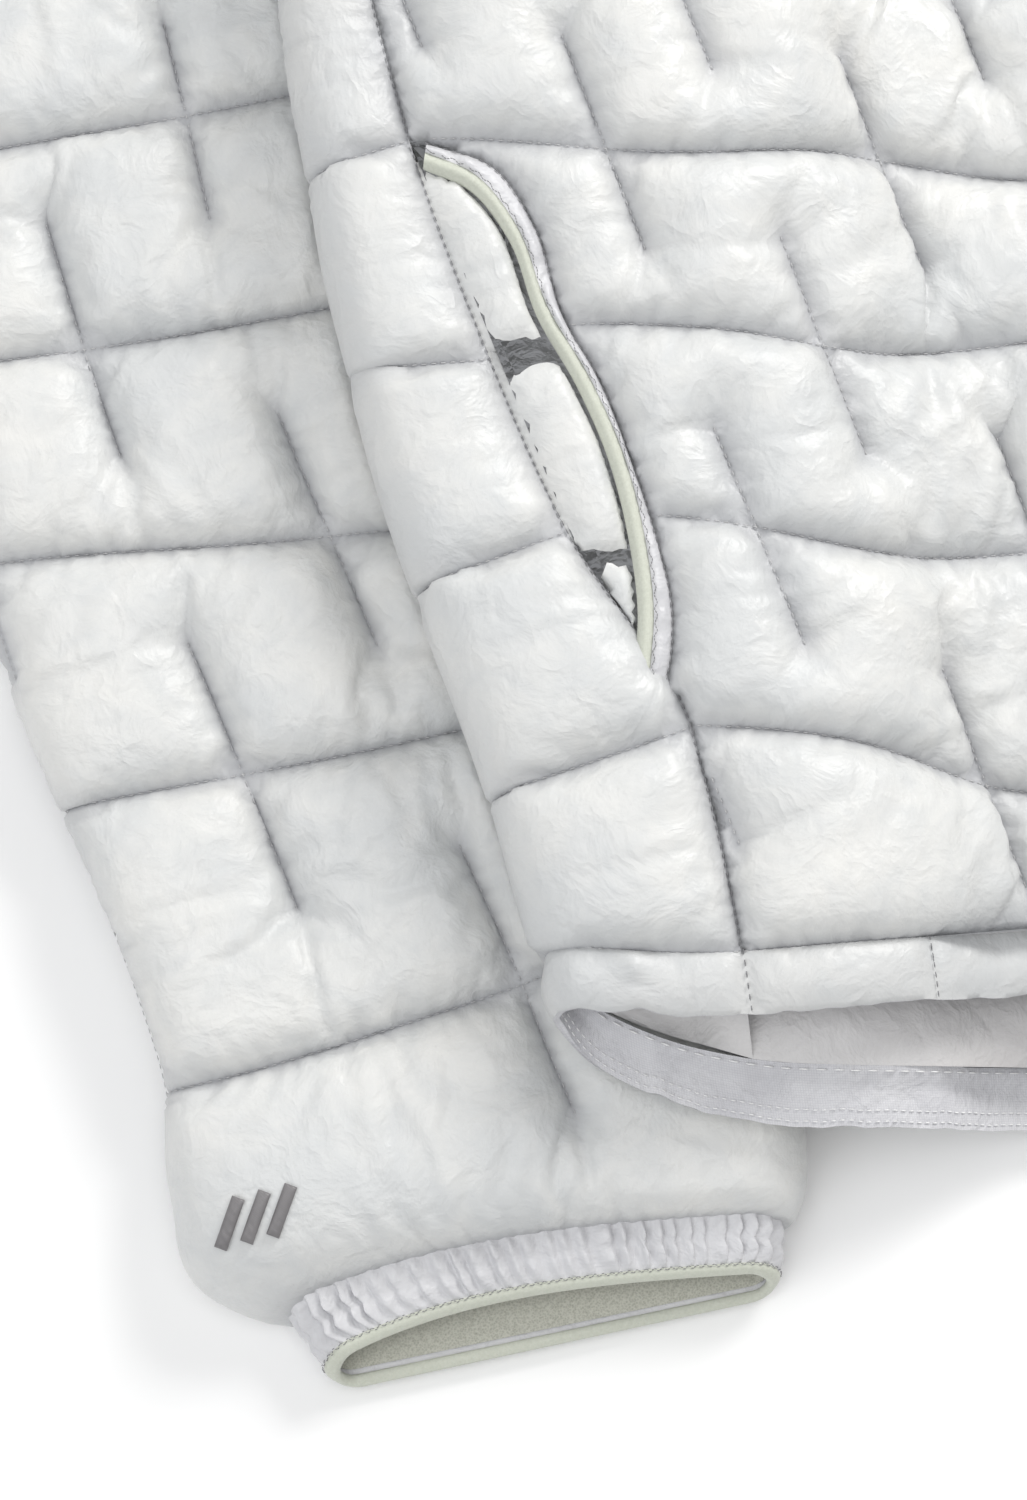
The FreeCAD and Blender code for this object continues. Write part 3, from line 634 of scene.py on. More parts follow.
# how far the cuff's lower layer sticks out, and its upper layer dips in
UNDER_LAYER_OUT, UPPER_LAYER_IN = 6.0, 7.0
SLEEVE_LINING = 2.6                 # from the sleeve's quilting lines to its lining


def sleeve_section(v):
    """Outer x and y, inner x and y, bottom and thickness of the sleeve at a way along it."""
    return [np.interp(v, WAY, STATIONS[:, k]) for k in range(6)]


def sewn_depth(v):
    """How far the quilting lines are below the sleeve's full size: less at the cuff, where there is no down."""
    return 5.6 - 4.0 * ease((v - (CUFF_AT - 60)) / 60.0)


def on_sleeve(around, v, depth):
    """Points on the right sleeve: around it from the underside's middle by way of the outer edge, and along it."""
    ox, oy, ix, iy, bottom, thick = sleeve_section(v)
    width = np.hypot(ix - ox, iy - oy)
    flat = np.maximum(width - thick, 1.0)
    r = np.maximum(thick / 2 - depth, 0.8)
    s = (around / AROUND % 1.0) * 2 * (math.pi * r + flat)
    s = np.where(around >= AROUND, 2 * (math.pi * r + flat), s)
    a = np.clip((s - flat / 2) / r, 0, math.pi)
    b = np.clip((s - 1.5 * flat - math.pi * r) / r, 0, math.pi)
    q = -np.minimum(s, flat / 2) - r * np.sin(a) + np.clip(s - flat / 2 - math.pi * r, 0, flat) \
        + r * np.sin(b) - np.clip(s - 1.5 * flat - 2 * math.pi * r, 0, None)
    z = np.where(b > 0, r * np.cos(b), -r * np.cos(a))
    dx, dy = (ix - ox) / width, (iy - oy) / width
    cx, cy = (ox + ix) / 2, (oy + iy) / 2
    low = (1 - z / r) / 2
    across = np.clip(0.5 + q / width, 0, 1)
    out = ease((v - (CUFF_AT - 70)) / 80.0) * (UNDER_LAYER_OUT * low - UPPER_LAYER_IN * (1 - low)
                                               * np.sin(math.pi * across ** 0.75))
    wave = 0.8 * np.sin(v * 0.043 + 0.7) * np.sin(around * 0.052)
    return np.c_[-(cx + dx * q) + out * dy, cy + dy * q + out * dx, bottom + thick / 2 + z + wave * (z > 0)]


def on_sleeve_top(points):
    """A plan point's place in the sleeve's drawing, on its upper side."""
    out = []
    for px, py in np.asarray(points, float):
        px = -px
        ox, oy, ix, iy, _, thick = STATIONS.T
        width = np.hypot(ix - ox, iy - oy)
        off = ((px - ox) * (iy - oy) - (py - oy) * (ix - ox)) / width
        along = ((px - ox) * (ix - ox) + (py - oy) * (iy - oy)) / width
        crossing = np.nonzero((off[:-1] * off[1:] <= 0) & (along[:-1] > -60) & (along[:-1] < width[:-1] + 60))[0]
        k = crossing[-1] if len(crossing) else int(np.argmin(np.abs(off)))
        v = WAY[k]
        flat = width[k] - thick[k]
        r = thick[k] / 2 - float(sewn_depth(v))
        q = along[k] - width[k] / 2
        if q < -flat / 2:
            s = flat / 2 + r * (math.pi - math.asin(min(1.0, (-flat / 2 - q) / r)))
        elif q > flat / 2:
            s = 1.5 * flat + math.pi * r + r * math.asin(min(1.0, (q - flat / 2) / r))
        else:
            s = flat / 2 + math.pi * r + q + flat / 2
        out.append((AROUND * s / (2 * (math.pi * r + flat)), v))
    return np.array(out)


def sleeve_skin(depth):
    """The sleeve's layer at a depth below its quilting lines."""
    return lambda flat: on_sleeve(flat[:, 0], flat[:, 1], sewn_depth(flat[:, 1]) + depth)


def sleeve_rows():
    """The sleeve's quilting rows from the cuff up, closed round it."""
    ends = [on_sleeve_top([outer, inner]) for outer, inner in SLEEVE_ROWS]
    rows = [(e[0, 1], e[1, 1]) for e in ends]
    outer, inner = rows[-1]
    while min(outer, inner) > 70:
        outer, inner = outer - 56.0, inner - 56.0
        rows.append((outer, inner))
    lines = []
    for outer, inner in rows:
        mid = (outer + inner) / 2
        lines.append(bend_through([(-1, mid), (90, outer), (180, mid + 1.5), (270, inner), (361, mid)], steps=12))
    return lines


def under_body(points):
    """The sleeve rests on the floor, and goes flat under the body."""
    x, y, z = points.T
    inside = np.abs(x) < x_on(SILHOUETTE, np.clip(y, -60, 400)) - 4
    top = np.where(inside & (y < BODY_TOP_ROW), UNDER_BODY, np.inf)
    return np.c_[x, y, np.clip(z, FLOOR_GAP, top)]


def make_sleeves(cloth, inside, satin, threads):
    """Both sleeves, quilted round, with the satin mark on the right one."""
    rows = sleeve_rows()
    measured = [on_sleeve_top(t) for t in SLEEVE_TACKS]
    ruled = []
    for i, row in enumerate(rows):
        mid = row[len(row) // 2, 1]
        for j, a in enumerate((18, 62, 108, 152, 205, 250, 298, 342)):
            a = a + (22 if i % 2 else 0)
            on_top = 95 < a < 268
            if not (on_top and i < len(SLEEVE_ROWS)):
                wobble = 3 * math.sin(i + j)
                ruled.append(np.array([(a - 5, mid - TACK_HALF + wobble), (a + 5, mid + TACK_HALF + wobble)]))
    steps = int(round(CUFF_AT / CLOTH_GAP))
    vs = np.linspace(0, CUFF_AT, steps)
    across = np.linspace(0, AROUND, int(AROUND / CLOTH_GAP))
    border = closed(np.c_[across, np.zeros(len(across))], np.c_[np.full(steps, AROUND), vs],
                    np.c_[across[::-1], np.full(len(across), CUFF_AT)], np.c_[np.zeros(steps), vs[::-1]])
    lines = trimmed(rows + measured + ruled, border)
    made = quilted(border, lines, sleeve_skin(0.0), sleeve_skin(SLEEVE_LINING), seed=14, limit=under_body)
    both_sides("sleeve", made, [cloth, inside])
    cloth_points = made[0]
    upper = cloth_points[cloth_points[:, 2] > 14]
    make_satin_mark(upper[upper[:, 1] < 20], satin)
    threads["sleeve"] = [sleeve_skin(-THREAD_RISE)(line) for line in lines]


MARK_AT, MARK_STEP, MARK_TURN = (-329, -42), (6.5, 0.6), 62.0   # first bar's middle, way to the next, and slant
BAR_LONG, BAR_WIDE = 13.0, 3.2
BAR_ROWS, BAR_COLUMNS = 27, 9       # points along and across a bar


def make_satin_mark(skin, satin):
    """Three plain slanted bars of satin stitch, laid on the right sleeve's cloth near its cuff."""
    tree = tree_of(skin[:, :2])
    points, faces, drawing = [], [], []
    turn = math.radians(MARK_TURN)
    along, across = np.array([math.cos(turn), math.sin(turn)]), np.array([-math.sin(turn), math.cos(turn)])
    last_row, last_column = BAR_ROWS - 1, BAR_COLUMNS - 1
    for k in range(3):
        centre = np.array([MARK_AT[0] + MARK_STEP[0] * k, MARK_AT[1] + MARK_STEP[1] * k])
        start = len(points)
        for i in range(BAR_ROWS):
            for j in range(BAR_COLUMNS):
                a, b = (i / last_row - 0.5) * BAR_LONG, (j / last_column - 0.5) * BAR_WIDE
                plan = centre + along * a + across * b
                near_by = tree.find_n((plan[0], plan[1], 0.0), 12)
                z = float(np.sort([skin[hit[1], 2] for hit in near_by])[-5:].mean())
                edge = (1 - (2 * b / BAR_WIDE) ** 4) * (1 - (2 * a / BAR_LONG) ** 8)
                points.append((plan[0], plan[1], z + 0.75 + 0.5 * edge + 0.06 * (i % 2)))
                drawing.append((a, b))
        for i in range(last_row):
            for j in range(last_column):
                q = start + i * BAR_COLUMNS + j
                faces.append((q, q + BAR_COLUMNS, q + BAR_COLUMNS + 1, q + 1))
        ring = [start + i * BAR_COLUMNS for i in range(BAR_ROWS)]
        ring += [start + last_row * BAR_COLUMNS + j for j in range(1, BAR_COLUMNS)]
        ring += [start + i * BAR_COLUMNS + last_column for i in range(last_row - 1, -1, -1)]
        ring += [start + j for j in range(last_column - 1, 0, -1)]
        base = len(points)
        points += [(points[q][0], points[q][1], points[q][2] - 1.6) for q in ring]
        drawing += [drawing[q] for q in ring]
        for n in range(len(ring)):
            after = (n + 1) % len(ring)
            faces.append((ring[n], ring[after], base + after, base + n))
        faces.append(tuple(base + n for n in range(len(ring))))
    mesh = make_mesh("satin_mark", points, faces, drawing)
    piece("satin_mark", mesh, [satin], ["sleeve_mark_right"])


def tube_of(outer, inner):
    """A closed ring from two grids of points (around, along), joined where their ends meet."""
    n, m = outer.shape[:2]
    grid = np.concatenate([outer, inner[:, ::-1]], axis=1)
    points = grid.reshape(-1, 3)
    faces, k = [], 2 * m
    for i in range(n):
        j = (i + 1) % n
        for t in range(k):
            u = (t + 1) % k
            faces.append((i * k + t, j * k + t, j * k + u, i * k + u))
    return points, faces


def both_rings(name, outer, inner, material, replaces):
    """A ring round the right cuff and its mirror image on the left."""
    points, faces = tube_of(outer, inner)
    n, m = outer.shape[:2]
    steps = np.linspace(0, 1, 2 * m)
    drawing = np.stack(np.meshgrid(np.arange(n) * 0.6, steps * 20.0, indexing="ij"), axis=-1).reshape(-1, 2)
    for side, place in (("right", points), ("left", mirrored(points))):
        mesh = make_mesh(f"{name}_{side}", place, faces, drawing, np.full(len(points), 0.3))
        piece(f"{name}_{side}", mesh, [material], [f"{node}_{side}" for node in replaces])


def make_cuffs(gathered, binding, facing, threads):
    """Gathered band, knit facing inside it, and the rolled binding at the edge, with its zigzag stitches."""
    n = 760                         # points round a cuff
    around = np.arange(n) * AROUND / n
    chance = np.random.default_rng(5)
    knots = 0.45 + 1.1 * chance.random(n // 9 + 3)
    pace = smooth_run(np.arange(n) / 9.0, np.arange(len(knots)), knots)
    phase = np.cumsum(pace) * (2 * math.pi * 60 / n)
    phase *= 2 * math.pi * round(phase[-1] / (2 * math.pi)) / phase[-1]
    strength = 0.85 + 0.3 * np.sin(np.arange(n) * 2 * math.pi * 7 / n + 1.0)

    def grid(v0, v1, depths):
        rows = []
        for t, depth in depths:
            v = np.full(n, v0 + (v1 - v0) * t)
            rows.append(on_sleeve(around, v, depth(t) if callable(depth) else np.full(n, depth)))
        return np.stack(rows, axis=1)

    def gathers(t):
        pinch = 1 - 0.55 * math.exp(-((t - 0.5) / 0.12) ** 2)
        lean = phase + 1.2 * math.sin(t * 3.5)
        body = math.sin(math.pi * min(1, t * 0.94 + 0.04))
        return 0.9 - (1.25 * strength * np.sin(lean) + 0.8) * body * pinch

    ts = np.linspace(0, 1, 13)
    outer = grid(CUFF_AT - 1.0, BAND_END + 1.6, [(t, gathers) for t in ts])
    inner = grid(CUFF_AT - 1.0, BAND_END + 1.6, [(t, 2.6) for t in ts])
    both_rings("cuff_band", outer, inner, gathered, ["cuff_band"])
    inner_out = grid(CUFF_AT, BAND_END, [(t, 2.9) for t in ts])
    inner_in = grid(CUFF_AT, BAND_END, [(t, 3.6) for t in ts])
    both_rings("cuff_facing", inner_out, inner_in, facing, ["cuff_facing", "cuff_elastic"])
    roll = [(t, 1.3 - 1.3 * math.sin(math.pi * min(1.0, 0.25 + t * 0.75))) for t in np.linspace(0, 1, 9)]
    back = [(t, 2.6 + 1.0 * math.sin(math.pi * min(1.0, 0.25 + t * 0.75))) for t in np.linspace(0, 1, 9)]
    both_rings("cuff_binding", grid(BAND_END + 1.3, EDGE_AT, roll), grid(BAND_END + 1.3, EDGE_AT, back), binding,
               ["cuff_binding"])
    fine = np.arange(0, AROUND + 0.1, 0.5)
    beat = np.arange(len(fine)) % 6
    zigzag = BAND_END + 1.9 + 0.8 * (beat / 3 - 1) * np.where(beat < 3, 1, -1)
    threads["cuff"] = [on_sleeve(fine, zigzag, -0.15)]


def make_collar(cloth, inside, threads):
    """The stand collar as one band from zip to zip, with one quilting row round it."""
    flat_run = COLLAR_HALF - BEND
    front = flat_run - ZIP_GAP
    total = 2 * front + 2 * math.pi * BEND + 2 * flat_run

    def section(s, depth):
        r = BEND - depth
        a = np.clip((s - front) / BEND, 0, math.pi)
        b = np.clip((s - front - math.pi * BEND - 2 * flat_run) / BEND, 0, math.pi)
        x = -ZIP_GAP - np.clip(s, 0, front) - r * np.sin(a) \
            + np.clip(s - front - math.pi * BEND, 0, 2 * flat_run) + r * np.sin(b)
        x = np.where(s > total - front, flat_run - (s - (total - front)), x)
        z = np.where(b > 0, -r * np.cos(b), r * np.cos(a))
        return x, BODY_MID + z, a, b

    def neck_y(s):
        x, _, a, b = section(s, 0)
        w = ease(np.where(b > 0, 1 - b / math.pi, a / math.pi))
        return (1 - w) * y_on(FRONT_NECK, x) + w * y_on(BACK_NECK, x)

    def place(depth):
        def at(flat):
            x, z, _, _ = section(flat[:, 0], depth)
            return np.c_[x, neck_y(flat[:, 0]) + flat[:, 1], z + 0.5 * np.sin(flat[:, 0] * 0.05)]
        return at

    s = np.linspace(0, total, 170)
    border = closed(np.c_[s, 0 * s], [(total, 0), (total, COLLAR_TALL)], np.c_[s[::-1], 0 * s + COLLAR_TALL],
                    [(0, COLLAR_TALL), (0, 0)])
    lines = trimmed([np.array([(-1, 34), (total + 1, 34)])], border)
    points, faces, drawing, fill, kinds = quilted(border, lines, place(0), place(4.5), gap=2.4, seed=15,
                                                  limit=over_sleeve, full=7.0, cap=9.0)
    mesh = make_mesh("collar", points, faces, drawing, fill, kinds)
    piece("collar", mesh, [cloth, inside], ["collar_shell", "collar_down", "collar_lining"])
    threads["collar"] = [place(-0.3)(line) for line in lines]


# ---- hem ---------------------------------------------------------------------------------------------------
def girth(s, flat_front, flat_back, cut_y, lower):
    """A point on the hem's whole run from the zip round to the zip again: plan x, y and height, and the way out."""
    side = math.pi * BEND
    front = flat_front - ZIP_GAP
    a = np.clip((s - front) / BEND, 0, math.pi)
    b = np.clip((s - front - side - 2 * flat_back) / BEND, 0, math.pi)
    x = -ZIP_GAP - np.clip(s, 0, front) - BEND * np.sin(a) + np.clip(s - front - side, 0, 2 * flat_back) \
        + BEND * np.sin(b) - np.clip(s - front - 2 * side - 2 * flat_back, 0, front)
    turn = np.where(b > 0, math.pi - b, a)
    w = ease(turn / math.pi)
    y = (1 - w) * y_on(FRONT_HEM, x) + w * y_on(BACK_HEM, x) + cut_y
    z = lift(x) + settle(x, y) + BODY_MID + BEND * np.cos(turn) - lower * (1 - w)
    out = np.c_[np.sign(x) * np.sin(turn), 0 * x, np.cos(turn)]
    return np.c_[x, y, z], out


HEM_HALF = 234.0                    # flat half width of the hem, from the zip to where the side edge begins
HEM_FOLDS = ((3.4, 0.55), (7.5, 0.9), (21.0, 0.8))      # width and depth of each size of wrinkle
MIDDLE_TACK = 154.0                 # where the front's lowest tack crosses the tunnel


def make_hem(cloth, facing, threads):
    """The hem's elastic tunnel as one puckered tube from zip to zip."""
    half = HEM_HALF
    total = 2 * (half - ZIP_GAP) + 2 * math.pi * BEND + 2 * half
    n = int(total / 1.1)
    s = np.linspace(0, total, n)
    chance = np.random.default_rng(8)
    folds = np.zeros(n)
    for wide, deep in HEM_FOLDS:
        knots = chance.normal(size=int(total / wide) + 3)
        folds += deep * smooth_run(s / wide, np.arange(len(knots)), knots)
    top, _ = girth(s, half, half, TUNNEL, 0)
    edge, out = girth(s, half, half, folds * 0.35, 1.2)
    is_front = (out[:, 2] > 0.2).astype(float)
    x = top[:, 0]
    at_seam = np.exp(-((np.abs(x) - HEM_SEAM) / 3.0) ** 2)
    at_tack = np.exp(-((np.abs(x) - MIDDLE_TACK) / 2.5) ** 2)
    pinch = 1 - 0.85 * at_seam - 0.6 * at_tack * is_front
    ts = np.linspace(0, 1, 12)
    outer, inner = [], []
    for t in ts:
        swell = math.sin(math.pi * min(1, 0.03 + t * 0.9)) ** 0.7
        wrinkle = folds * (0.55 + 0.45 * math.cos(5 * t))
        outer.append(top * (1 - t) + edge * t + out * ((2.9 + 0.95 * wrinkle) * swell * pinch)[:, None])
        deep = 3.0 * (1 - ease(t / 0.45)) + 1.5 * (0.6 + 0.4 * swell)
        deep = deep + 0.9 * wrinkle * math.sin(math.pi * (0.08 + 0.84 * t))
        inner.append(top * (1 - t) + edge * t - out * deep[:, None])
    ring = np.concatenate([np.stack(outer, 1), np.stack(inner, 1)[:, ::-1]], axis=1)
    k = ring.shape[1]
    points = over_sleeve(ring.reshape(-1, 3))
    faces, kinds = [], []
    for i in range(n - 1):
        for t in range(k):
            u = (t + 1) % k
            faces.append((i * k + t, (i + 1) * k + t, (i + 1) * k + u, i * k + u))
            kinds.append(0 if t < len(ts) - 1 else 1)
    faces += [tuple(range(k)), tuple((n - 1) * k + t for t in range(k))[::-1]]
    kinds += [0, 0]
    drawing = np.stack(np.meshgrid(s, np.arange(k) * 1.4, indexing="ij"), axis=-1).reshape(-1, 2)
    mesh = make_mesh("hem_tunnel", points, faces, drawing, np.full(len(points), 0.35), kinds)
    piece("hem_tunnel", mesh, [cloth, facing],
          ["hem_band_right", "hem_band_left", "hem_band_back", "hem_elastic_front", "hem_elastic_back"])
    stack = np.stack(outer, 1)
    back = np.nonzero(out[:, 2] < -0.2)[0]
    inner_stack = np.stack(inner, 1)
    threads["hem_top"] = [top + out * 0.35]
    threads["hem_inside"] = [inner_stack[back, 1] - out[back] * 0.35]
    threads["hem_edge"] = [inner_stack[back, t] - out[back] * 0.35 for t in (-4, -2)]
    seam, front = [], np.nonzero(out[:, 2] > 0.2)[0]
    for at, parts in ((HEM_SEAM, (front, back)), (MIDDLE_TACK, (front,))):
        for sign in (-1, 1):
            for part in parts:
                i = part[np.argmin(np.abs(x[part] - sign * at))]
                seam.append(stack[i, :-1] + out[i] * 0.7)
    threads["hem_seam"] = seam


# ---- pockets -----------------------------------------------------------------------------------------------
def strip_between(a, b, arch, lift_a, lift_b, thick=1.4, rows=7):
    """A sewn strip between two plan lines, arched between them, with a thin body under it."""
    top = []
    for t in np.linspace(0, 1, rows):
        p = a * (1 - t) + b * t
        z = body_z(p[:, 0], p[:, 1], FRONT_Z) + lift_a * (1 - t) + lift_b * t + arch * math.sin(math.pi * t)
        top.append(np.c_[p, z])
    top = np.stack(top, axis=1)
    return top, top - (0, 0, thick)


def sheet_mesh(top, low):
    """A closed strip from the grids of its upper and lower points."""
    n, m = top.shape[:2]
    ring = np.concatenate([top, low[:, ::-1]], axis=1)
    k = 2 * m
    faces = [(i * k + t, (i + 1) * k + t, (i + 1) * k + (t + 1) % k, i * k + (t + 1) % k)
             for i in range(n - 1) for t in range(k)]
    faces += [tuple(range(k)), tuple((n - 1) * k + t for t in range(k))[::-1]]
    return ring.reshape(-1, 3), faces


def make_pocket_edges(gathered, binding, threads):
    """The narrow gathered welt round each mouth and the piping along its edge."""
    stitch = even(bend_through(POCKET_STITCH * (-1, 1)), 0.9)
    edge = bend_through(POCKET_EDGE * (-1, 1))
    edge = even(edge, np.linalg.norm(np.diff(edge, axis=0), axis=1).sum() / (len(stitch) - 1))[:len(stitch)]
    chance = np.random.default_rng(21)
    knots = chance.normal(size=len(stitch) // 4 + 3)
    pucker = smooth_run(np.arange(len(stitch)) / 4.0, np.arange(len(knots)), knots)
    normal = edge - stitch
    normal /= np.linalg.norm(normal, axis=1, keepdims=True)
    inner = edge - normal * 2.6
    top, low = strip_between(stitch, inner, 1.0, 0.2, 2.2)
    bump = (0.55 * pucker)[:, None] * np.sin(np.linspace(0.2, math.pi - 0.2, 7))
    top[:, :, 2] += bump
    welt = sheet_mesh(top, low)
    roll_top, roll_low = strip_between(inner, edge + normal * 1.2, 1.3, 2.0, 1.2, thick=2.6, rows=9)
    piping = sheet_mesh(roll_top, roll_low)
    for side in ("right", "left"):
        for name, (points, faces), material, slot, node in (
                ("pocket_welt", welt, gathered, "shell", "pocket_welt"),
                ("pocket_piping", piping, binding, "binding", "pocket_binding")):
            place = points if side == "right" else mirrored(points)
            drawing = np.c_[points[:, 0], points[:, 1]]
            mesh = make_mesh(f"{name}_{side}", place, faces, drawing, np.full(len(points), 0.25))
            piece(f"{name}_{side}", mesh, [material], [f"{node}_{side}"])
    z = body_z(inner[:, 0], inner[:, 1], FRONT_Z)
    zigzag = 0.7 * (np.arange(len(inner)) % 4 / 2 - 1) * np.where(np.arange(len(inner)) % 4 < 2, 1, -1)
    threads["piping"] = [np.c_[inner + normal * (zigzag - 0.2)[:, None], z + 2.75]]
    threads["welt"] = [np.c_[stitch, body_z(stitch[:, 0], stitch[:, 1], FRONT_Z) + 0.6]]


def make_pocket_backs(cloth, threads):
    """The quilted cloth behind each mouth, which runs on from the side panel and ends in the pocket."""
    ys = np.linspace(70, 204, 50)
    seam = np.c_[-x_on(SIDE_SEAM, ys), ys]
    far = np.c_[4.0 - edge_x(ys), ys]
    border = closed(seam, [seam[-1], far[-1]], far[::-1], [far[0], seam[0]], gap=2.0)
    lines = trimmed([np.array([(-250, 158), (-180, 144)]), np.array([(-240, 108), (-180, 92)])], border, margin=1.2,
                    least=5.0)

    def under(level):
        def place(flat):
            inward = np.clip((flat[:, 0] + x_on(SIDE_SEAM, flat[:, 1])) / 8.0, 0, 1)
            return np.c_[flat, body_z(flat[:, 0], flat[:, 1], FRONT_Z) - level * inward - 0.2]
        return place

    def below_piping(points):
        clear = np.maximum(np.abs(points[:, 0]) - edge_x(points[:, 1]) - 1.4, 0)
        roof = body_z(points[:, 0], points[:, 1], FRONT_Z) - 1.7 + 2.2 * clear
        return np.c_[points[:, :2], np.minimum(points[:, 2], roof)]

    made = quilted(border, lines, under(1.6), under(5.0), gap=1.8, seed=16, limit=below_piping, grow=0.1,
                   press=0.01, full=7.0, cap=8.0)
    # lifts the fill of the cloth behind the mouth, so little painted seam shade shows on it
    made[3][:] = np.clip(0.34 + made[3] * 1.3, 0, 1)
    points, faces, drawing, fill, kinds = made
    for side, place in (("right", points), ("left", mirrored(points))):
        mesh = make_mesh(f"pocket_back_{side}", place, faces, drawing, fill, kinds)
        piece(f"pocket_back_{side}", mesh, [cloth, cloth], [f"pocket_bag_{side}"])
    threads["mouth"] = [under(1.2)(line) for line in lines]
    ys = np.linspace(4, 399, 260)
    seam = np.c_[-x_on(SIDE_SEAM, ys), ys]
    threads["side_seam"] = [np.c_[seam, body_z(seam[:, 0], seam[:, 1], FRONT_Z) + 0.45]]


# ---- zip ---------------------------------------------------------------------------------------------------
def line_tree(name, **sizes):
    """A tree that takes a line and a material, with a named input for each size in metres."""
    tree = bpy.data.node_groups.new(name, "GeometryNodeTree")
    face = tree.interface
    face.new_socket("Geometry", in_out="INPUT", socket_type="NodeSocketGeometry")
    for label, default in sizes.items():
        face.new_socket(label, in_out="INPUT", socket_type="NodeSocketFloat").default_value = default
    face.new_socket("Material", in_out="INPUT", socket_type="NodeSocketMaterial")
    face.new_socket("Geometry", in_out="OUTPUT", socket_type="NodeSocketGeometry")
    return tree


def coil_tree():
    """One turn of nylon coil at every pitch along a line: a short rounded bar across it."""
    return bars_on_line(line_tree("zip coil", Pitch=0.0013, Width=0.0024, Thickness=0.0009), "Width", across=True)


def stitch_tree():
    """A small rounded stitch at every pitch along a line."""
    return bars_on_line(line_tree("stitches", Pitch=0.0026, Length=0.0021, Thickness=0.0003), "Length", across=False)


def bars_on_line(tree, long_input, across):
    """Puts a rounded bar at every pitch along a line, across it or along it, and gives it its material."""
    nodes, links = tree.nodes, tree.links
    given, result = nodes.new("NodeGroupInput"), nodes.new("NodeGroupOutput")
    line = nodes.new("GeometryNodeMeshToCurve")
    spaced = nodes.new("GeometryNodeResampleCurve")
    spaced.mode = "LENGTH"
    tangent = nodes.new("GeometryNodeInputTangent")
    turn = nodes.new("FunctionNodeAlignRotationToVector")
    turn.axis = "Y" if across else "X"
    blob = nodes.new("GeometryNodeMeshUVSphere")
    blob.inputs["Segments"].default_value = 5
    blob.inputs["Rings"].default_value = 4 if across else 3
    blob.inputs["Radius"].default_value = 0.5
    size = nodes.new("ShaderNodeCombineXYZ")
    place = nodes.new("GeometryNodeInstanceOnPoints")
    real = nodes.new("GeometryNodeRealizeInstances")
    coat = nodes.new("GeometryNodeSetMaterial")
    links.new(given.outputs["Geometry"], line.inputs[0])
    links.new(line.outputs[0], spaced.inputs["Curve"])
    links.new(given.outputs["Pitch"], spaced.inputs["Length"])
    links.new(tangent.outputs[0], turn.inputs["Vector"])
    links.new(spaced.outputs[0], place.inputs["Points"])
    links.new(blob.outputs["Mesh"], place.inputs["Instance"])
    links.new(turn.outputs[0], place.inputs["Rotation"])
    links.new(given.outputs[long_input], size.inputs[0])
    links.new(given.outputs["Thickness"], size.inputs[1])
    links.new(given.outputs["Width" if across else "Thickness"], size.inputs[2])
    links.new(size.outputs[0], place.inputs["Scale"])
    links.new(place.outputs[0], real.inputs[0])
    links.new(real.outputs[0], coat.inputs["Geometry"])
    links.new(given.outputs["Material"], coat.inputs["Material"])
    links.new(coat.outputs[0], result.inputs[0])
    return tree


def repeat_along(name, lines, tree, material, slot, replaces=(), **sizes):
    """Runs a tree over lines given in drawing millimetres, and keeps the result as a plain mesh."""
    points, edges, start = [], [], 0
    for line in lines:
        points.append(np.asarray(line, float))
        edges += [(start + i, start + i + 1) for i in range(len(line) - 1)]
        start += len(line)
    places = (np.vstack(points) - (0, MIDDLE_Y, 0)) * 0.001
    guide = bpy.data.meshes.new(name + "_guide")
    guide.from_pydata(places.tolist(), edges, [])
    carrier = bpy.data.objects.new(name + "_guide", guide)
    bpy.context.scene.collection.objects.link(carrier)
    modifier = carrier.modifiers.new("repeat", "NODES")
    modifier.node_group = tree
    for item in tree.interface.items_tree:
        if item.in_out == "INPUT" and item.name in sizes:
            modifier[item.identifier] = sizes[item.name]
        elif item.in_out == "INPUT" and item.name == "Material":
            modifier[item.identifier] = material
    bpy.context.view_layer.update()
    mesh = bpy.data.meshes.new_from_object(carrier.evaluated_get(bpy.context.evaluated_depsgraph_get()))
    mesh.name = name
    carrier.modifiers.remove(modifier)
    bpy.data.objects.remove(carrier)
    mesh.shade_smooth()
    mesh.materials.clear()
    return piece(name, mesh, [material], replaces)


def make_threads(threads, pale, dark, white):
    """Every row of stitches: its name, the lines it follows, its thread, and pitch, length and thickness in mm."""
    tree = stitch_tree()
    plan = (("quilting", ("front", "side", "sleeve", "mouth", "hem_top"), pale, 2.3, 1.9, 0.34),
            ("seam_thread", ("side_seam", "hem_seam", "welt"), dark, 2.3, 1.9, 0.36),
            ("hem_thread", ("hem_edge",), white, 2.2, 1.8, 0.36),
            ("long_thread", ("hem_inside",), white, 4.2, 3.5, 0.5),
            ("edging_thread", ("piping", "cuff"), dark, 0.8, 0.9, 0.28))
    for name, keys, material, pitch, long, thick in plan:
        right = [line for key in keys for line in threads[key]]
        groups = {"": right} if name in ("hem_thread", "long_thread") else {
            "_right": right, "_left": [mirrored(line) for line in right]}
        for side, lines in groups.items():
            repeat_along(name + side, lines, tree, material, "satin_thread", Pitch=pitch * 0.001, Length=long * 0.001,
                         Thickness=thick * 0.001)
    rest = threads["back"] + threads["collar"]
    repeat_along("quilting_back", rest, tree, pale, "satin_thread", Pitch=0.0032, Length=0.0026, Thickness=0.00036)


COIL_OFF = 1.2                      # from the zip's middle to the middle of each half's coil


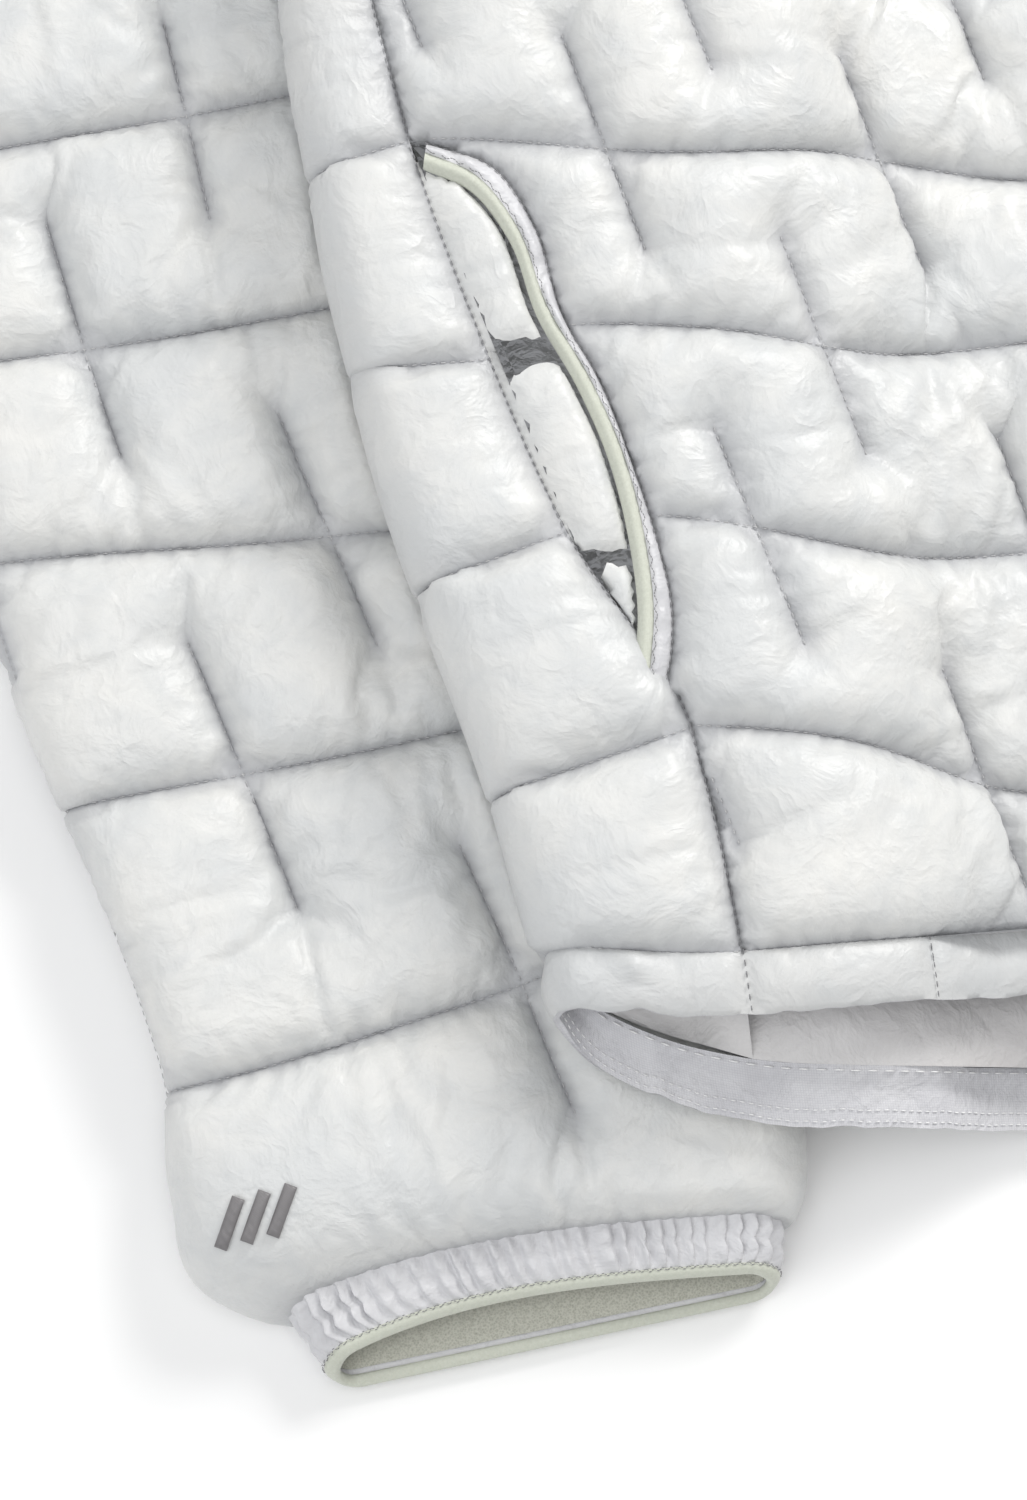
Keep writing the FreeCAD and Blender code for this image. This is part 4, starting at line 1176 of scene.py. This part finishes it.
def make_zip(teeth):
    """The coil's turns on both halves of the zip, where the CAD's coils are."""
    tree = coil_tree()
    for side, sign in (("right", -1), ("left", 1)):
        low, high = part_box("zip_coil_" + side)
        ys = np.array([low[1], high[1]]) * 1000 + MIDDLE_Y
        x = sign * COIL_OFF
        z = (low[2] + high[2]) * 500
        line = even([(x, ys[0], z), (x, ys[1], z)], 5.0)
        repeat_along("zip_coil_turns_" + side, [line], tree, teeth, "zip_teeth", ["zip_coil_" + side],
                     Pitch=0.0013, Width=0.0022, Thickness=0.0010)


# ---- finishes ----------------------------------------------------------------------------------------------
class Nodes:
    """Small helper: adds nodes to a tree, sets their sockets and joins them."""

    def __init__(self, tree):
        self.tree = tree

    def add(self, kind, out=0, settings=None, **sockets):
        node = self.tree.nodes.new(kind)
        for key, value in (settings or {}).items():
            setattr(node, key, value)
        for key, value in sockets.items():
            socket = node.inputs[int(key[1:])] if key[0] == "_" else node.inputs[key.replace("_", " ")]
            if hasattr(value, "is_output"):
                self.tree.links.new(value, socket)
            else:
                socket.default_value = value
        return node.outputs[out]

    def maths(self, what, a, b=0.0, c=0.0):
        return self.add("ShaderNodeMath", settings={"operation": what}, _0=a, _1=b, _2=c)

    def blend(self, factor, a, b):
        return self.add("ShaderNodeMix", out=2, settings={"data_type": "RGBA"}, _0=factor, _6=a, _7=b)


def group_of(name, inputs, outputs):
    """An empty shader group with named inputs and outputs."""
    tree = bpy.data.node_groups.new(name, "ShaderNodeTree")
    for label, kind, default in inputs:
        socket = tree.interface.new_socket(label, in_out="INPUT", socket_type=kind)
        if default is not None:
            socket.default_value = default
    for label, kind in outputs:
        tree.interface.new_socket(label, in_out="OUTPUT", socket_type=kind)
    return tree, tree.nodes.new("NodeGroupInput"), tree.nodes.new("NodeGroupOutput"), Nodes(tree)


def ripstop_group():
    """A fine plain weave with a thicker thread every few threads: a height and a tint."""
    tree, given, result, n = group_of(
        "ripstop weave", [("Place", "NodeSocketVector", None), ("Threads", "NodeSocketFloat", 2600.0),
                          ("Grid", "NodeSocketFloat", 420.0)],
        [("Height", "NodeSocketFloat"), ("Tint", "NodeSocketFloat")])
    split = tree.nodes.new("ShaderNodeSeparateXYZ")
    tree.links.new(given.outputs["Place"], split.inputs[0])
    runs, grids = [], []
    for k in (0, 1):
        phase = n.maths("MULTIPLY", split.outputs[k], given.outputs["Threads"])
        runs.append(n.maths("SINE", phase))
        wide = n.maths("SINE", n.maths("MULTIPLY", split.outputs[k], given.outputs["Grid"]))
        grids.append(n.maths("POWER", n.maths("ABSOLUTE", wide), 14.0))
    weave = n.maths("MULTIPLY", runs[0], runs[1])
    thick = n.maths("MAXIMUM", grids[0], grids[1])
    tree.links.new(n.maths("MULTIPLY_ADD", thick, 0.8, n.maths("MULTIPLY", weave, 0.3)), result.inputs["Height"])
    tree.links.new(thick, result.inputs["Tint"])
    return tree


def crinkle_group():
    """Short soft creases of light cloth, as a height."""
    tree, given, result, n = group_of(
        "cloth creases", [("Place", "NodeSocketVector", None), ("Size", "NodeSocketFloat", 90.0),
                          ("Fine", "NodeSocketFloat", 0.5)], [("Height", "NodeSocketFloat")])
    bend = n.add("ShaderNodeTexNoise", out=1, Vector=given.outputs["Place"], Scale=40.0, Detail=2.0)
    shift = n.add("ShaderNodeVectorMath", settings={"operation": "MULTIPLY_ADD"}, _0=bend, _1=(0.02, 0.02, 0.02),
                  _2=given.outputs["Place"])
    broad = n.add("ShaderNodeTexNoise", Vector=shift, Scale=given.outputs["Size"], Detail=3.0, Roughness=0.5)
    ridge = n.maths("ABSOLUTE", n.maths("SUBTRACT", broad, 0.5))
    small = n.add("ShaderNodeTexNoise", Vector=shift, Scale=n.maths("MULTIPLY", given.outputs["Size"], 4.5),
                  Detail=4.0, Roughness=0.6)
    total = n.maths("MULTIPLY_ADD", small, given.outputs["Fine"], n.maths("MULTIPLY", ridge, -2.2))
    tree.links.new(total, result.inputs["Height"])
    return tree


def down_and_seam_shade_group():
    """Down seen through thin cloth: warm and white where it is full, cool grey where the fill is low, partly for
    cloth with no down behind it and partly as painted shade of the seam valleys.
    """
    tree, given, result, n = group_of(
        "down and painted seam shade", [("Place", "NodeSocketVector", None), ("Fill", "NodeSocketFloat", 0.5),
                              ("Full", "NodeSocketColor", (1, 1, 1, 1)), ("Clump", "NodeSocketColor", (1, 1, 1, 1)),
                              ("Empty", "NodeSocketColor", (0.5, 0.5, 0.5, 1))], [("Color", "NodeSocketColor")])
    clumps = n.add("ShaderNodeTexNoise", Vector=given.outputs["Place"], Scale=70.0, Detail=5.0, Roughness=0.62,
                   Distortion=0.6)
    broad = n.add("ShaderNodeTexNoise", Vector=given.outputs["Place"], Scale=19.0, Detail=2.0)
    patch = n.add("ShaderNodeMapRange", _0=n.maths("MULTIPLY_ADD", broad, 0.8, n.maths("MULTIPLY", clumps, 0.6)),
                  _1=0.48, _2=0.82, _3=0.0, _4=1.0)
    full = n.blend(patch, given.outputs["Full"], given.outputs["Clump"])
    some = n.maths("POWER", n.maths("MAXIMUM", given.outputs["Fill"], 0.0), 0.7)
    # low fill near the seams pulls the colour towards the grey: partly cloth with no down behind it, partly painted
    # seam shade
    amount = n.add("ShaderNodeMapRange", _0=n.maths("MULTIPLY_ADD", clumps, 0.25, some), _1=0.12, _2=0.72, _3=0.0,
                   _4=1.0)
    tree.links.new(n.blend(amount, given.outputs["Empty"], full), result.inputs["Color"])
    return tree


def new_finish(name):
    """A material with its tree, its shader and the node helper."""
    made = bpy.data.materials.new(name)
    made.use_nodes = True
    tree = made.node_tree
    shader = next(node for node in tree.nodes if node.type == "BSDF_PRINCIPLED")
    return made, tree, shader, Nodes(tree)


def use_group(tree, group, **sockets):
    """Places a shared group in a material with its own values."""
    node = tree.nodes.new("ShaderNodeGroup")
    node.node_tree = group
    for key, value in sockets.items():
        if hasattr(value, "is_output"):
            tree.links.new(value, node.inputs[key])
        else:
            node.inputs[key].default_value = value
    return node


def shade(r, g, b):
    """An opaque colour."""
    return (r, g, b, 1.0)


def quilt_cloth(groups, name, full, clump, empty, rough, creases, crease_size=90.0, uses_fill=True):
    """Thin glossy cloth over down, coloured by how full it is, greying towards its seams partly for thinner down and
    partly as painted shade, with creases and a fine weave.
    """
    made, tree, shader, n = new_finish(name)
    coords = tree.nodes.new("ShaderNodeTexCoord")
    place = coords.outputs["Object"]
    fill = n.add("ShaderNodeAttribute", out=2, settings={"attribute_name": "fill"}) if uses_fill else 0.4
    # empty is the grey for low fill: partly cloth with no down behind it, partly painted shade of the seam valleys
    colour = use_group(tree, groups["down"], Place=place, Fill=fill, Full=full, Clump=clump, Empty=empty)
    tree.links.new(colour.outputs[0], shader.inputs["Base Color"])
    crease = use_group(tree, groups["creases"], Place=place, Size=crease_size, Fine=0.35)
    weave = use_group(tree, groups["ripstop"], Place=coords.outputs["UV"], Threads=5200.0, Grid=1300.0)
    soft = n.add("ShaderNodeBump", Strength=creases, Distance=0.0016, Height=crease.outputs[0])
    fine = n.add("ShaderNodeBump", Strength=0.12, Distance=0.0001, Height=weave.outputs["Height"], Normal=soft)
    tree.links.new(fine, shader.inputs["Normal"])
    varied = n.add("ShaderNodeTexNoise", Vector=place, Scale=55.0, Detail=3.0)
    tree.links.new(n.add("ShaderNodeMapRange", _0=varied, _1=0.3, _2=0.7, _3=rough - 0.06, _4=rough + 0.08),
                   shader.inputs["Roughness"])
    shader.inputs["Specular IOR Level"].default_value = 0.42
    shader.inputs["Sheen Weight"].default_value = 0.15
    return made


def ripstop_cloth(groups, name, low, high, rough, creases, grid):
    """Plain unfilled cloth with a visible ripstop grid."""
    made, tree, shader, n = new_finish(name)
    coords = tree.nodes.new("ShaderNodeTexCoord")
    weave = use_group(tree, groups["ripstop"], Place=coords.outputs["UV"], Threads=grid * 6, Grid=grid)
    spots = n.add("ShaderNodeTexNoise", Vector=coords.outputs["Object"], Scale=60.0, Detail=4.0)
    tone = n.maths("MULTIPLY_ADD", weave.outputs["Tint"], -0.28, spots)
    tree.links.new(n.blend(n.add("ShaderNodeMapRange", _0=tone, _1=0.2, _2=0.65, _3=0.0, _4=1.0), low, high),
                   shader.inputs["Base Color"])
    crease = use_group(tree, groups["creases"], Place=coords.outputs["Object"], Size=110.0, Fine=0.5)
    soft = n.add("ShaderNodeBump", Strength=creases, Distance=0.0014, Height=crease.outputs[0])
    fine = n.add("ShaderNodeBump", Strength=0.3, Distance=0.0001, Height=weave.outputs["Height"], Normal=soft)
    tree.links.new(fine, shader.inputs["Normal"])
    shader.inputs["Roughness"].default_value = rough
    return made


def knit_binding(name, low, high, speckle, scale, rough):
    """Stretch binding and fleecy facing: fine speckle over a short nap."""
    made, tree, shader, n = new_finish(name)
    place = tree.nodes.new("ShaderNodeTexCoord").outputs["Object"]
    dots = n.add("ShaderNodeTexVoronoi", Vector=place, Scale=scale)
    grain = n.add("ShaderNodeTexNoise", Vector=place, Scale=scale * 0.6, Detail=5.0, Roughness=0.7)
    tone = n.maths("MULTIPLY_ADD", grain, 0.8, n.maths("MULTIPLY", dots, speckle))
    tree.links.new(n.blend(n.add("ShaderNodeMapRange", _0=tone, _1=0.25, _2=0.85, _3=0.0, _4=1.0), low, high),
                   shader.inputs["Base Color"])
    tree.links.new(n.add("ShaderNodeBump", Strength=0.5, Distance=0.0003, Height=tone), shader.inputs["Normal"])
    shader.inputs["Roughness"].default_value = rough
    shader.inputs["Sheen Weight"].default_value = 0.3
    return made


def twisted_thread(name, low, high, rough=0.55):
    """Sewing thread with a fine twist."""
    made, tree, shader, n = new_finish(name)
    place = tree.nodes.new("ShaderNodeTexCoord").outputs["Object"]
    twist = n.add("ShaderNodeTexWave", settings={"bands_direction": "DIAGONAL"}, Vector=place, Scale=900.0,
                  Distortion=2.0)
    uneven = n.add("ShaderNodeTexNoise", Vector=place, Scale=120.0, Detail=2.0)
    tree.links.new(n.blend(n.maths("MULTIPLY_ADD", uneven, 0.6, n.maths("MULTIPLY", twist, 0.4)), low, high),
                   shader.inputs["Base Color"])
    tree.links.new(n.add("ShaderNodeBump", Strength=0.3, Distance=0.0001, Height=twist), shader.inputs["Normal"])
    shader.inputs["Roughness"].default_value = rough
    return made


def plain_hard(name, low, high, rough, scale):
    """Painted metal or nylon with a slight mottle and soft wear."""
    made, tree, shader, n = new_finish(name)
    place = tree.nodes.new("ShaderNodeTexCoord").outputs["Object"]
    mottle = n.add("ShaderNodeTexNoise", Vector=place, Scale=scale, Detail=4.0)
    tree.links.new(n.blend(mottle, low, high), shader.inputs["Base Color"])
    tree.links.new(n.add("ShaderNodeMapRange", _0=mottle, _1=0.3, _2=0.7, _3=rough - 0.08, _4=rough + 0.08),
                   shader.inputs["Roughness"])
    tree.links.new(n.add("ShaderNodeBump", Strength=0.15, Distance=0.0002, Height=mottle), shader.inputs["Normal"])
    return made


def make_finishes():
    """Every finish of the jacket, by the name that the pieces ask for."""
    groups = {"ripstop": ripstop_group(), "creases": crinkle_group(), "down": down_and_seam_shade_group()}
    return {
        # shell: full white, a cooler clump grey, and a grey for low fill that is partly cloth with no down behind it
        # and partly painted shade of the seam valleys
        "shell": quilt_cloth(groups, "shell cloth", shade(0.745, 0.742, 0.722), shade(0.62, 0.632, 0.635),
                             shade(0.43, 0.437, 0.455), 0.40, 0.45),
        "lining": quilt_cloth(groups, "lining cloth", shade(0.72, 0.71, 0.70), shade(0.64, 0.63, 0.63),
                              shade(0.60, 0.59, 0.60), 0.36, 0.5),
        "gathered": quilt_cloth(groups, "gathered shell cloth", shade(0.72, 0.72, 0.74), shade(0.60, 0.60, 0.62),
                                shade(0.56, 0.56, 0.58), 0.36, 0.4, 160.0, uses_fill=False),
        "hem": ripstop_cloth(groups, "hem facing cloth", shade(0.54, 0.54, 0.57), shade(0.68, 0.68, 0.70), 0.45, 0.6,
                             5200.0),
        "binding": knit_binding("sage stretch binding", shade(0.52, 0.54, 0.46), shade(0.66, 0.68, 0.60), 0.2,
                                1700.0, 0.75),
        "facing": knit_binding("sage cuff facing", shade(0.32, 0.325, 0.27), shade(0.58, 0.58, 0.51), 0.6,
                               1900.0, 0.9),
        "pale": twisted_thread("quilting thread", shade(0.42, 0.42, 0.43), shade(0.60, 0.60, 0.60)),
        "dark": twisted_thread("seam thread", shade(0.16, 0.16, 0.17), shade(0.27, 0.27, 0.28)),
        "white": twisted_thread("hem thread", shade(0.80, 0.80, 0.80), shade(0.92, 0.92, 0.92)),
        "satin": twisted_thread("satin thread", shade(0.13, 0.125, 0.13), shade(0.24, 0.23, 0.235), 0.42),
        "tape": ripstop_cloth(groups, "zip tape", shade(0.66, 0.66, 0.65), shade(0.78, 0.78, 0.77), 0.7, 0.05,
                              3300.0),
        "teeth": plain_hard("zip nylon", shade(0.68, 0.68, 0.67), shade(0.80, 0.80, 0.79), 0.38, 500.0),
        "metal": plain_hard("painted zip metal", shade(0.60, 0.60, 0.59), shade(0.72, 0.72, 0.71), 0.32, 260.0),
        "label": ripstop_cloth(groups, "woven label", shade(0.42, 0.42, 0.42), shade(0.55, 0.55, 0.55), 0.5, 0.1,
                               3000.0),
    }


def finish_nodes(finishes):
    """CAD nodes that stay as they are get their finish."""
    keep = {
        "tape": ["zip_tape_right", "zip_tape_left"],
        "teeth": ["zip_top_stops", "zip_box", "zip_pin"],
        "metal": ["zip_slider", "zip_pull"],
        "hem": ["zip_draft_flap", "zip_chin_guard", "hanger_loop"],
        "binding": ["shoulder_tapes"],
        "label": ["neck_label", "care_label"],
    }
    for finish, names in keep.items():
        for name in names:
            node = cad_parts[name]
            node.data.materials.clear()
            node.data.materials.append(finishes[finish])


# ---- floor, light and camera -------------------------------------------------------------------------------
WORLD_LIGHT = 0.5
LAMP_AIM = (-0.15, -0.2, 0.0)
# name, place in metres, size in metres, power in watts, colour
LAMPS = (("key", (1.1, 1.2, 1.25), 0.9, 36.0, (1.0, 0.99, 0.97)),
         ("fill", (-1.6, -0.9, 1.5), 1.6, 11.0, (0.96, 0.98, 1.0)),
         ("top", (-0.3, -0.1, 2.2), 1.4, 12.0, (1.0, 1.0, 1.0)))


def make_studio():
    """A pale floor, a white world and three soft lamps."""
    floor = bpy.data.meshes.new("floor")
    floor.from_pydata([(-4, -4, 0), (4, -4, 0), (4, 4, 0), (-4, 4, 0)], [], [(0, 1, 2, 3)])
    floor_piece = bpy.data.objects.new("floor", floor)
    bpy.context.scene.collection.objects.link(floor_piece)
    made, _, shader, _ = new_finish("pale floor")
    shader.inputs["Base Color"].default_value = shade(0.97, 0.97, 0.97)
    shader.inputs["Roughness"].default_value = 0.9
    floor.materials.append(made)

    world = bpy.data.worlds.new("studio")
    world.use_nodes = True
    world.node_tree.nodes["Background"].inputs[0].default_value = shade(1.0, 1.0, 1.0)
    world.node_tree.nodes["Background"].inputs[1].default_value = WORLD_LIGHT
    bpy.context.scene.world = world
    bpy.context.scene.view_settings.view_transform = "Standard"
    for name, place, size, power, colour in LAMPS:
        lamp = bpy.data.lights.new(name, "AREA")
        lamp.size, lamp.energy, lamp.color = size, power, colour
        holder = bpy.data.objects.new(name, lamp)
        holder.location = place
        holder.rotation_euler = (Vector(LAMP_AIM) - Vector(place)).to_track_quat("-Z", "Y").to_euler()
        bpy.context.scene.collection.objects.link(holder)


VIEW_AIM = (-0.2453, -0.2518, 0.028)    # the view's middle, in metres
VIEW_UP = (0.139, 0.990, 0.0)       # the way up in the view, along the floor
VIEW_FAR, VIEW_TALL = 1.05, 0.366   # distance, and how much of the aim's plane the view takes in from top to bottom
VIEW_TILT = 7.0                     # degrees from straight down
SENSOR = 36.0


def make_camera():
    """Looks down on the right cuff, the right pocket and the hem's right corner."""
    aim, far, tilt = Vector(VIEW_AIM), VIEW_FAR, math.radians(VIEW_TILT)
    up = Vector(VIEW_UP).normalized()
    toward = Vector((0, 0, 1)) * math.cos(tilt) - up * math.sin(tilt)
    right = up.cross(Vector((0, 0, 1))).normalized()
    top = toward.cross(right)
    camera = bpy.data.cameras.new("camera")
    camera.sensor_fit = "VERTICAL"
    camera.sensor_height = SENSOR
    camera.lens = SENSOR / VIEW_TALL * far
    camera.clip_start = 0.05
    holder = bpy.data.objects.new("camera", camera)
    rotation = Matrix((right, top, toward)).transposed()
    holder.matrix_world = Matrix.Translation(aim + toward * far) @ rotation.to_4x4()
    bpy.context.scene.collection.objects.link(holder)
    bpy.context.scene.camera = holder


# ---- all of it ---------------------------------------------------------------------------------------------
make_camera()
make_studio()
finishes = make_finishes()
finish_nodes(finishes)
threads = {}
make_body(finishes["shell"], finishes["lining"], threads)
make_sleeves(finishes["shell"], finishes["lining"], finishes["satin"], threads)
make_cuffs(finishes["gathered"], finishes["binding"], finishes["facing"], threads)
make_collar(finishes["shell"], finishes["lining"], threads)
make_hem(finishes["shell"], finishes["hem"], threads)
make_pocket_edges(finishes["gathered"], finishes["binding"], threads)
make_pocket_backs(finishes["shell"], threads)
make_zip(finishes["teeth"])
make_threads(threads, finishes["pale"], finishes["dark"], finishes["white"])
